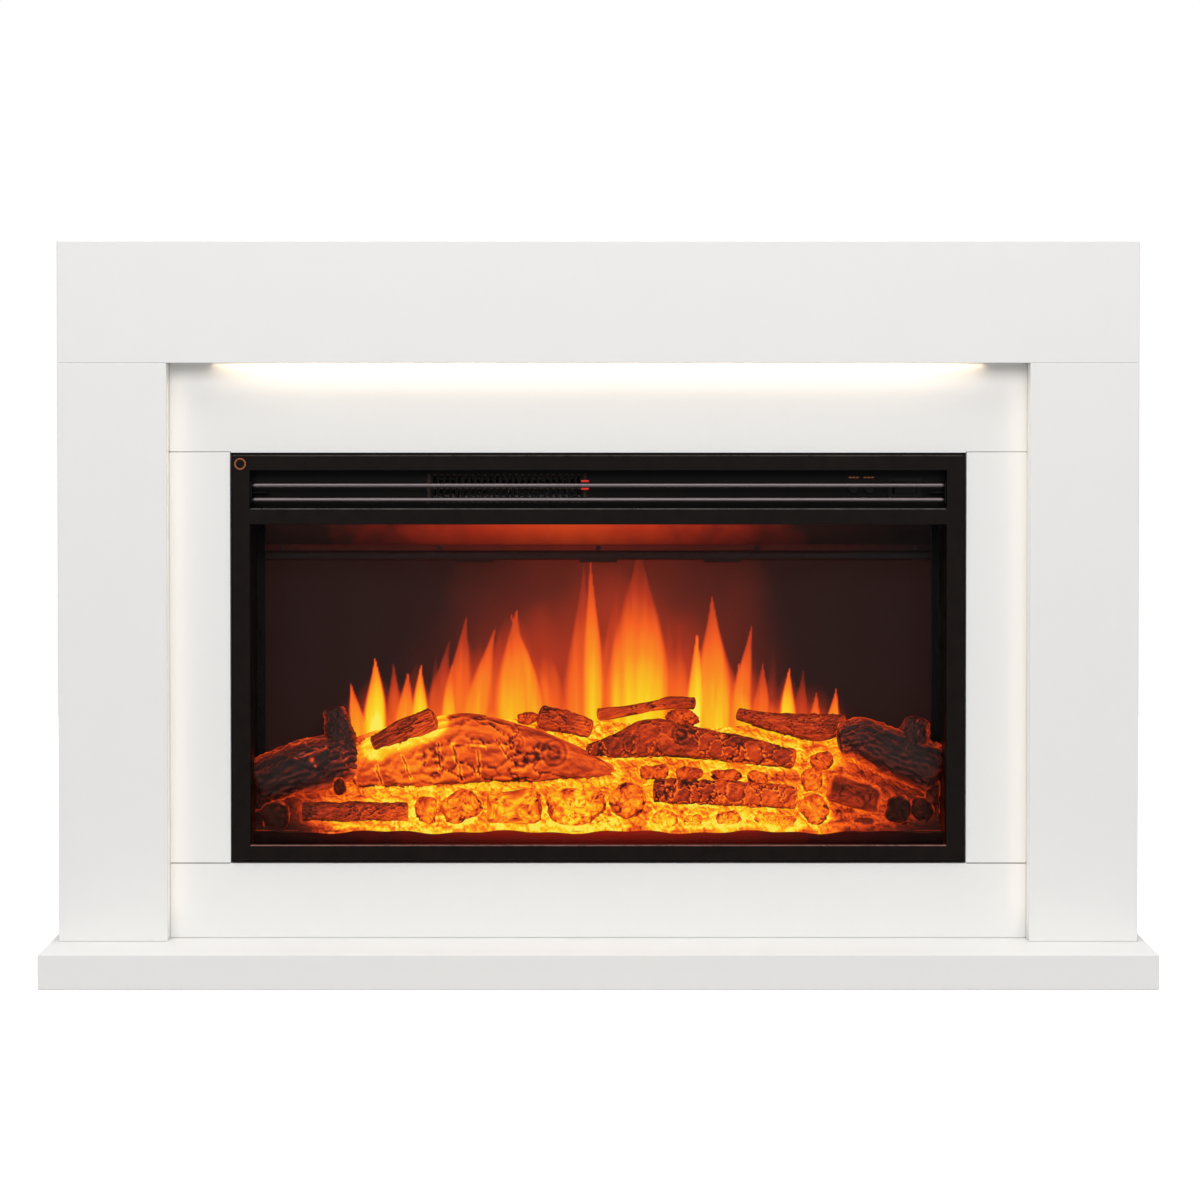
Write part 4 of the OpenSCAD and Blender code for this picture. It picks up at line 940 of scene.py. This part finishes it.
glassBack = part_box("glass_pane")[1].y + 2 * mm
pictureY = screen["y"] * mm - 0.5 * mm
outlines = []  # used again by the ember bed
for name, look in logSet.items():
    places, heat, rows, around = logPoints(look, look["path"], look["seed"], look["heat"])
    faces = gridFaces(rows, around, True)
    points, values = [limitDepth(places)], [heat]
    if "stub" in look:
        stub = look["stub"]
        stubLook = {**look, "y": look["y"] - 2, "plates": (9, 7), "rim": look["rim"] * 0.7}
        stubPlaces, stubHeat, stubRows, stubAround = logPoints(
            stubLook, stub["path"], look["seed"] + 7, [stub["heat"]] * len(stub["path"]))
        faces += gridFaces(stubRows, stubAround, True, start=len(places))
        points.append(limitDepth(stubPlaces))
        values.append(stubHeat)
    made = meshPiece(name, np.concatenate(points), faces,
                     charMat if look["slot"] == "charred_log" else barkMat,
                     attributes={"glow": np.clip(np.concatenate(values), 0, 1)})
    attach(made, "surround")
    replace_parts(made, look["node"])
    outlines.append(np.array(look["path"], float))
print("logs made")


# coals
coalLook = {"rows": 40, "around": 60, "thick": 0.42, "thickest": 13, "cell": 11, "lump": 7.5,
            "rough": 2.6}
# each coal: x, z, width, height, tilt, boxiness, depth, heat, dark spots
coalSet = (
    (-376, 178, 32, 32, 8, 0.7, -4, 0.04, 0.0), (-393, 194, 22, 44, 0, 0.8, 14, 0.05, 0.0),
    (-395, 172, 24, 26, 0, 0.9, 6, 0.03, 0.0), (-302, 211, 16, 21, 12, 0.8, 6, 0.14, 0.0),
    (-326, 161, 17, 10, 0, 0.9, -3, 0.08, 0.0), (-284, 162, 13, 9, 0, 0.9, -3, 0.16, 0.0),
    (-201, 184, 26, 33, 0, 0.7, 2, 0.62, 0.1), (-161, 188, 46, 38, 28, 0.7, 1, 0.66, 0.1),
    (-97, 186, 66, 44, 4, 0.42, 0, 0.76, 0.25), (-30, 186, 60, 48, 0, 0.8, 2, 0.80, 0.2),
    (-6, 193, 30, 36, 12, 0.8, 5, 0.72, 0.2), (34, 196, 42, 42, 0, 1.0, -1, 0.68, 0.2),
    (77, 175, 30, 21, 0, 1.0, -2, 0.84, 0.1), (110, 172, 24, 17, 0, 0.9, -1, 0.82, 0.2),
    (150, 175, 30, 19, 8, 0.8, -1, 0.80, 0.25), (196, 174, 28, 18, -6, 0.8, -1, 0.80, 0.25),
    (252, 185, 32, 38, 28, 0.8, 0, 0.62, 0.2), (250, 219, 24, 26, 10, 0.5, 14, 0.60, 0.15),
    (299, 204, 62, 33, -16, 0.34, -3, 0.25, 0.0), (349, 186, 30, 32, -10, 0.6, -3, 0.05, 0.0),
    (309, 170, 30, 15, 0, 0.9, 0, 0.22, 0.1), (378, 184, 28, 34, 8, 0.9, 8, 0.05, 0.0),
    (392, 198, 16, 50, 0, 0.9, 18, 0.08, 0.0), (362, 166, 30, 14, 0, 0.9, 0, 0.04, 0.0),
    (66, 227, 36, 17, 6, 0.8, 14, 0.50, 0.3), (106, 226, 30, 16, -8, 0.8, 13, 0.46, 0.3),
    (146, 224, 34, 15, 4, 0.8, 13, 0.48, 0.3), (186, 222, 26, 15, -10, 0.8, 12, 0.52, 0.3),
    (262, 240, 26, 22, 20, 0.8, 22, 0.50, 0.3), (-232, 158, 24, 9, 0, 0.9, -3, 0.5, 0.3),
    (-196, 159, 22, 9, 0, 0.9, -3, 0.66, 0.2), (0, 166, 44, 12, 3, 0.8, -3, 0.7, 0.3),
    (-60, 163, 30, 10, 0, 0.9, -3, 0.72, 0.2), (222, 172, 24, 14, 0, 0.9, -1, 0.70, 0.3),
    (272, 163, 26, 11, 0, 0.9, -2, 0.55, 0.3), (336, 163, 30, 12, 0, 0.9, -1, 0.3, 0.3),
    (-84, 288, 24, 13, 10, 0.9, 40, 0.42, 0.1), (97, 289, 38, 20, -4, 1.0, 30, 0.42, 0.4),
)


# a rounded block whose boxiness goes from 1, round, to 0, square
def coal(x, z, w, h, tilt, box, y, heat, spots, seed):
    rows, around = coalLook["rows"], coalLook["around"]
    v = np.linspace(-math.pi / 2, math.pi / 2, rows)
    u = np.linspace(0, 2 * math.pi, around, endpoint=False)
    tiltUp, turnRound = np.meshgrid(v, u, indexing="ij")

    def curve(t):
        return np.sign(t) * np.abs(t) ** box

    depth = min(min(w, h) * coalLook["thick"], coalLook["thickest"])
    atX = curve(np.cos(turnRound)) * np.cos(tiltUp) ** (0.5 + 0.5 * box) * w / 2
    atZ = curve(np.sin(turnRound)) * np.cos(tiltUp) ** (0.5 + 0.5 * box) * h / 2
    atY = np.sin(tiltUp) * depth
    places = np.stack([atX.ravel(), atY.ravel(), atZ.ravel()], 1)
    q = places / coalLook["cell"] + seed * 3.1
    warp = np.stack([layered(q * 1.2 + 5 * k, seed + 40 + k, 4) for k in range(3)], 1)
    border, label = cells(q + warp * 1.4, seed)
    big = layered(q * 0.8, seed + 2)
    fine = layered(q * 4, seed + 3, 4)
    opened = ease(-0.1, 0.15, layered(q * 0.6, seed + 23))
    crack = np.exp(-(border / 0.07) ** 2) * opened
    push = big * coalLook["lump"] + fine * coalLook["rough"] - crack * 1.2 + (label - 0.5) * 1.2
    grow = 1 + push / (min(w, h) / 2)
    # relief and lean: the slope of the coal's relief, added to the heat below as painted light and shade
    # on it
    relief = push.reshape(rows, around)
    lean = np.clip((np.roll(relief, -1, 1) - np.roll(relief, 1, 1)
                    + np.gradient(relief, axis=0)).ravel() / 0.9, -1, 1)
    places = places * np.clip(grow, 0.4, 1.5)[:, None]
    a = math.radians(tilt)
    atX = places[:, 0] * math.cos(a) - places[:, 2] * math.sin(a)
    atZ = places[:, 0] * math.sin(a) + places[:, 2] * math.cos(a)
    rim = ease(0.80, 1.0, np.cos(tiltUp).ravel())
    spot = ease(0.12, 0.22, layered(q * 1.6, seed + 17)) * spots * 2.2
    values = heat * (0.98 + 0.34 * fine + 0.50 * big + 0.24 * lean)
    values = values - crack * heat * 0.5 - spot * heat * 0.55
    values += np.exp(-((border - 0.13) / 0.06) ** 2) * opened * heat * 0.16
    shadow = 0.26 + 0.20 * (places[:, 2] < 0)
    values -= ease(0.55, 0.98, np.cos(tiltUp).ravel()) * heat * shadow * (heat > 0.4)
    values += (0.11 * fine + 0.06 * lean + 0.05 * big) * (heat < 0.2)
    values += rim * 0.34 * (heat < 0.4) * (0.6 + fine)
    atY = np.clip((places[:, 1] + y) * mm, glassBack, pictureY)
    places = np.stack([(atX + x) * mm, atY, (atZ + z) * mm], 1)
    places[:, 0] = np.clip(places[:, 0], -0.4, 0.4)
    return places, gridFaces(rows, around, True), np.clip(values, 0, 1)


points, faces, values, total = [], [], [], 0
for i, spec in enumerate(coalSet):
    places, coalFaces, coalHeat = coal(*spec, seed=70 + i)
    points.append(places)
    faces += [tuple(total + k for k in f) for f in coalFaces]
    values.append(coalHeat)
    total += len(places)
coalPieces = meshPiece("coalPieces", np.concatenate(points), faces, emberMat,
                       attributes={"glow": np.concatenate(values)})
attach(coalPieces, "surround")
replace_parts(coalPieces, "coals")
print("coals made")

# ember bed
bed = {"width": 398, "columns": 640, "rows": 112, "front": -15.6, "depth": 70.6, "step": 9.0,
       "low": 161.0, "lump": 2.6, "shade": 0.51, "halo": 0.36, "footGlow": 0.20, "logReach": 7,
       "coalReach": 5,
       "backHeights": ((-398, 206), (-350, 226), (-300, 250), (-278, 264), (-180, 282), (-100, 286),
                       (0, 283), (134, 275), (230, 282), (293, 283), (332, 262), (398, 214))}

n, m = bed["columns"], bed["rows"]
bx = np.linspace(-bed["width"], bed["width"], n)
bv = np.linspace(0, 1, m)
gridX, gridRise = np.meshgrid(bx, bv)
tops = np.interp(gridX, *np.array(bed["backHeights"], float).T)
lows = bed["low"] + 1.6 * np.sin(gridX / 23.0) + 1.0 * np.sin(gridX / 9.0 + 1)
atZ = lows + (tops - lows) * gridRise ** 0.82
atY = bed["front"] + bed["step"] * ease(0, 0.06, gridRise) + (bed["depth"] - bed["step"]) * gridRise
q = np.stack([gridX.ravel() / 13, atY.ravel() / 13, atZ.ravel() / 11], 1)
warp = np.stack([layered(q * 1.2 + 5 * k, 90 + k, 4) for k in range(3)], 1)
border, label = cells(q + warp * 1.3, 91)
fine = layered(q * 3.2, 92, 3)
big = layered(q * 0.55, 93)
crack = np.exp(-(border / 0.09) ** 2)
push = bed["lump"] * ((label - 0.5) * 1.6 + big * 3.0 - crack * 0.7 + fine * 0.9)
# relief and lean: the slope of the bed's relief, added to the heat further down as painted light and
# shade on it
relief = (push - bed["lump"] * fine * 0.5).reshape(m, n)
lean = np.clip((np.gradient(relief, axis=0) + 0.6 * np.gradient(relief, axis=1)).ravel() / 0.5, -1, 1)
atY = atY.ravel() - push * np.clip(gridRise.ravel() * 8, 0.15, 1)
flatX, flatZ = gridX.ravel(), atZ.ravel()
# light gathers round the feet of the logs
halo = np.zeros(len(flatX))
for path in outlines:
    best = pathGap(flatX, flatZ, path)
    halo = np.maximum(halo, np.exp(-(np.clip(best, 0, 99) / bed["logReach"]) ** 2))
for x, z, w, h, tilt, box, y, hot, spots in coalSet:
    a = math.radians(tilt)
    u = (flatX - x) * math.cos(a) + (flatZ - z) * math.sin(a)
    v = (flatZ - z) * math.cos(a) - (flatX - x) * math.sin(a)
    r = np.hypot(u / (w / 2), v / (h / 2))
    away = np.clip((r - 1) * min(w, h) / 2, 0, 99)
    halo = np.maximum(halo, np.exp(-(away / bed["coalReach"]) ** 2) * (1.0 if hot > 0.25 else 0.45))
# the bed is dark at both ends, bright along its foot, and dark at the two front corners
side = np.interp(flatX, (-400, -368, -345, -300, -230, 235, 290, 335, 372, 400),
                 (0.10, 0.14, 0.34, 0.78, 1, 1, 0.84, 0.52, 0.22, 0.12))
drift = layered(np.stack([flatX / 30, flatX * 0, flatX * 0], 1), 95)
lowGlow = np.exp(-((flatZ - 163) / 13) ** 2) * (0.75 + 0.8 * drift)
# a painted shadow band across the bed at z 216, at the height of the underside of the left main log
shade = bed["shade"] - 0.12 * np.exp(-((flatZ - 216) / 12) ** 2)
heat = (shade + bed["halo"] * halo + bed["footGlow"] * lowGlow) * side
corner = np.interp(flatX, (-345, -300, 225, 262, 320), (1, 0, 0, 0.55, 1))
corner = corner * np.exp(-(np.clip(flatZ - 163, 0, 99) / 9) ** 2)
heat = heat * (1 - 0.6 * corner)
# lean brings in painted light and shade from the relief
heat = heat * (1 + 0.13 * fine + 0.78 * big + 0.22 * (label - 0.5) + 0.24 * lean) - crack * 0.10 * side
pits = ease(0.15, 0.22, layered(q * 2.1, 97)) * 0.45 * (1 - 0.7 * halo)
heat = heat * (1 - pits) + 0.02
points = np.stack([flatX * mm, np.clip(atY * mm, glassBack, pictureY), flatZ * mm], 1)
faces = gridFaces(m, n, False)
# skirt down into the tray, and a back
lipY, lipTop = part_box("bed_tray")[0].y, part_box("bed_tray")[1].z
over = points[:n].copy()
over[:, 1], over[:, 2] = lipY + 1.5 * mm, lipTop + 0.6 * mm
skirt = over.copy()
skirt[:, 2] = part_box("bed_tray")[0].z + 3 * mm
back = points[-n:].copy()
back[:, 2] = skirt[:, 2]
count = len(points)
points = np.concatenate([points, over, skirt, back])
rim = [list(range(n))] + [[count + k * n + j for j in range(n)] for k in range(3)]
rim.append([(m - 1) * n + j for j in range(n)])
for a, b in zip(rim[:-1], rim[1:]):
    faces += [(b[j], b[j + 1], a[j + 1], a[j]) for j in range(n - 1)]
values = np.concatenate([np.clip(heat, 0, 1), np.full(3 * n, 0.3)])
emberBed = meshPiece("emberBed", points, faces, emberMat, attributes={"glow": values})
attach(emberBed, "surround")
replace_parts(emberBed, "ember_bed")
print("ember bed made")

# stage, lights, camera
lighting = {
    "room": (0.93, 0.96, 1.0), "roomStrength": 0.35,
    "key": {"place": (0, -4.4, 2.9), "size": (5.5, 2.4), "power": 167, "aim": (0, 0, 0.4),
            "color": (1.0, 0.985, 0.965)},
    "top": {"place": (0, -0.6, 3.4), "size": (4.0, 2.2), "power": 60, "aim": (0, 0, 0.2),
            "color": (1.0, 0.98, 0.95)},
    "back": {"place": (0, 3.6, 2.6), "size": (5.0, 2.0), "power": 70, "aim": (0, 0, 0.4),
             "color": (1.0, 0.99, 0.98)},
    "legGlow": {"inset": 4, "size": (0.008, 0.62), "power": 0.014, "color": (1.0, 0.82, 0.58)},
}
camera = {"lens": 106.88, "place": (2.0, -4142.6, 675.7), "pitch": 1.276, "shiftY": -0.11}


# the floor: white to the camera, grey to the light that bounces
def flatStage(name, x0, x1, y0, y1, z):
    points = [(x0, y0, z), (x1, y0, z), (x1, y1, z), (x0, y1, z)]
    mat, tree, shader = startMaterial(name)
    tree.nodes.remove(shader)
    output = tree.nodes["Material Output"]
    path = newNode(tree, "ShaderNodeLightPath", -600)
    matte = newNode(tree, "ShaderNodeBsdfDiffuse", -400, 100, Color=(0.5, 0.5, 0.5, 1))
    bright = newNode(tree, "ShaderNodeEmission", -400, -100, Color=(1, 1, 1, 1), Strength=0.93)
    both = newNode(tree, "ShaderNodeAddShader", -200)
    pick = newNode(tree, "ShaderNodeMixShader", 0)
    wire(tree, matte, "BSDF", both, 0)
    wire(tree, bright, "Emission", both, 1)
    wire(tree, path, "Is Camera Ray", pick, "Fac")
    wire(tree, matte, "BSDF", pick, 1)
    wire(tree, both, "Shader", pick, 2)
    wire(tree, pick, "Shader", output, "Surface")
    made = meshPiece(name, points, [(0, 1, 2, 3)], mat, smooth=False)
    return made


flatStage("floor", -3.2, 3.2, -1.5, 3.2, cadBounds[0].z - 0.0004)

world = bpy.data.worlds.new("room")
bpy.context.scene.world = world
world.use_nodes = True
tree = world.node_tree
output = tree.nodes["World Output"]
room = tree.nodes["Background"]
room.inputs["Color"].default_value = (*lighting["room"], 1)
room.inputs["Strength"].default_value = lighting["roomStrength"]
white = newNode(tree, "ShaderNodeBackground", 0, 200, Color=(1, 1, 1, 1), Strength=1.0)
path = newNode(tree, "ShaderNodeLightPath", -200, 400)
pick = newNode(tree, "ShaderNodeMixShader", 200)
wire(tree, path, "Is Camera Ray", pick, "Fac")
wire(tree, room, "Background", pick, 1)
wire(tree, white, "Background", pick, 2)
wire(tree, pick, "Shader", output, "Surface")

for name in ("key", "top", "back"):
    look = lighting[name]
    data = bpy.data.lights.new(name, "AREA")
    data.shape = "RECTANGLE"
    data.size, data.size_y = look["size"]
    data.energy = look["power"]
    data.color = look["color"]
    lamp = bpy.data.objects.new(name, data)
    lamp.location = look["place"]
    lamp.rotation_euler = (Vector(look["aim"]) - lamp.location).to_track_quat("-Z", "Y").to_euler()
    bpy.context.scene.collection.objects.link(lamp)

glowLook = lighting["legGlow"]
for side, leg in ((-1, "left_leg_front"), (1, "right_leg_front")):
    low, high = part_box(leg)
    edge = high.x if side < 0 else low.x
    data = bpy.data.lights.new("legGlow", "AREA")
    data.shape = "RECTANGLE"
    data.size, data.size_y = glowLook["size"]
    data.energy = glowLook["power"]
    data.color = glowLook["color"]
    lamp = bpy.data.objects.new("legGlow", data)
    lamp.location = (edge - side * glowLook["inset"] * mm, low.y + 8 * mm, (low.z + high.z) / 2)
    lamp.rotation_euler = Vector((side * 0.3, 1, 0)).to_track_quat("-Z", "Y").to_euler()
    lamp.visible_camera = False
    bpy.context.scene.collection.objects.link(lamp)

camData = bpy.data.cameras.new("camera")
camData.lens = camera["lens"]
camData.sensor_width = 36
camData.shift_y = camera["shiftY"]
camData.clip_end = 50
cam = bpy.data.objects.new("camera", camData)
cam.location = Vector(camera["place"]) * mm
cam.rotation_euler = (math.radians(90 - camera["pitch"]), 0, 0)
bpy.context.scene.collection.objects.link(cam)
bpy.context.scene.camera = cam
bpy.context.scene.view_settings.view_transform = "Standard"
bpy.context.scene.view_settings.look = "None"

bpy.context.view_layer.update()
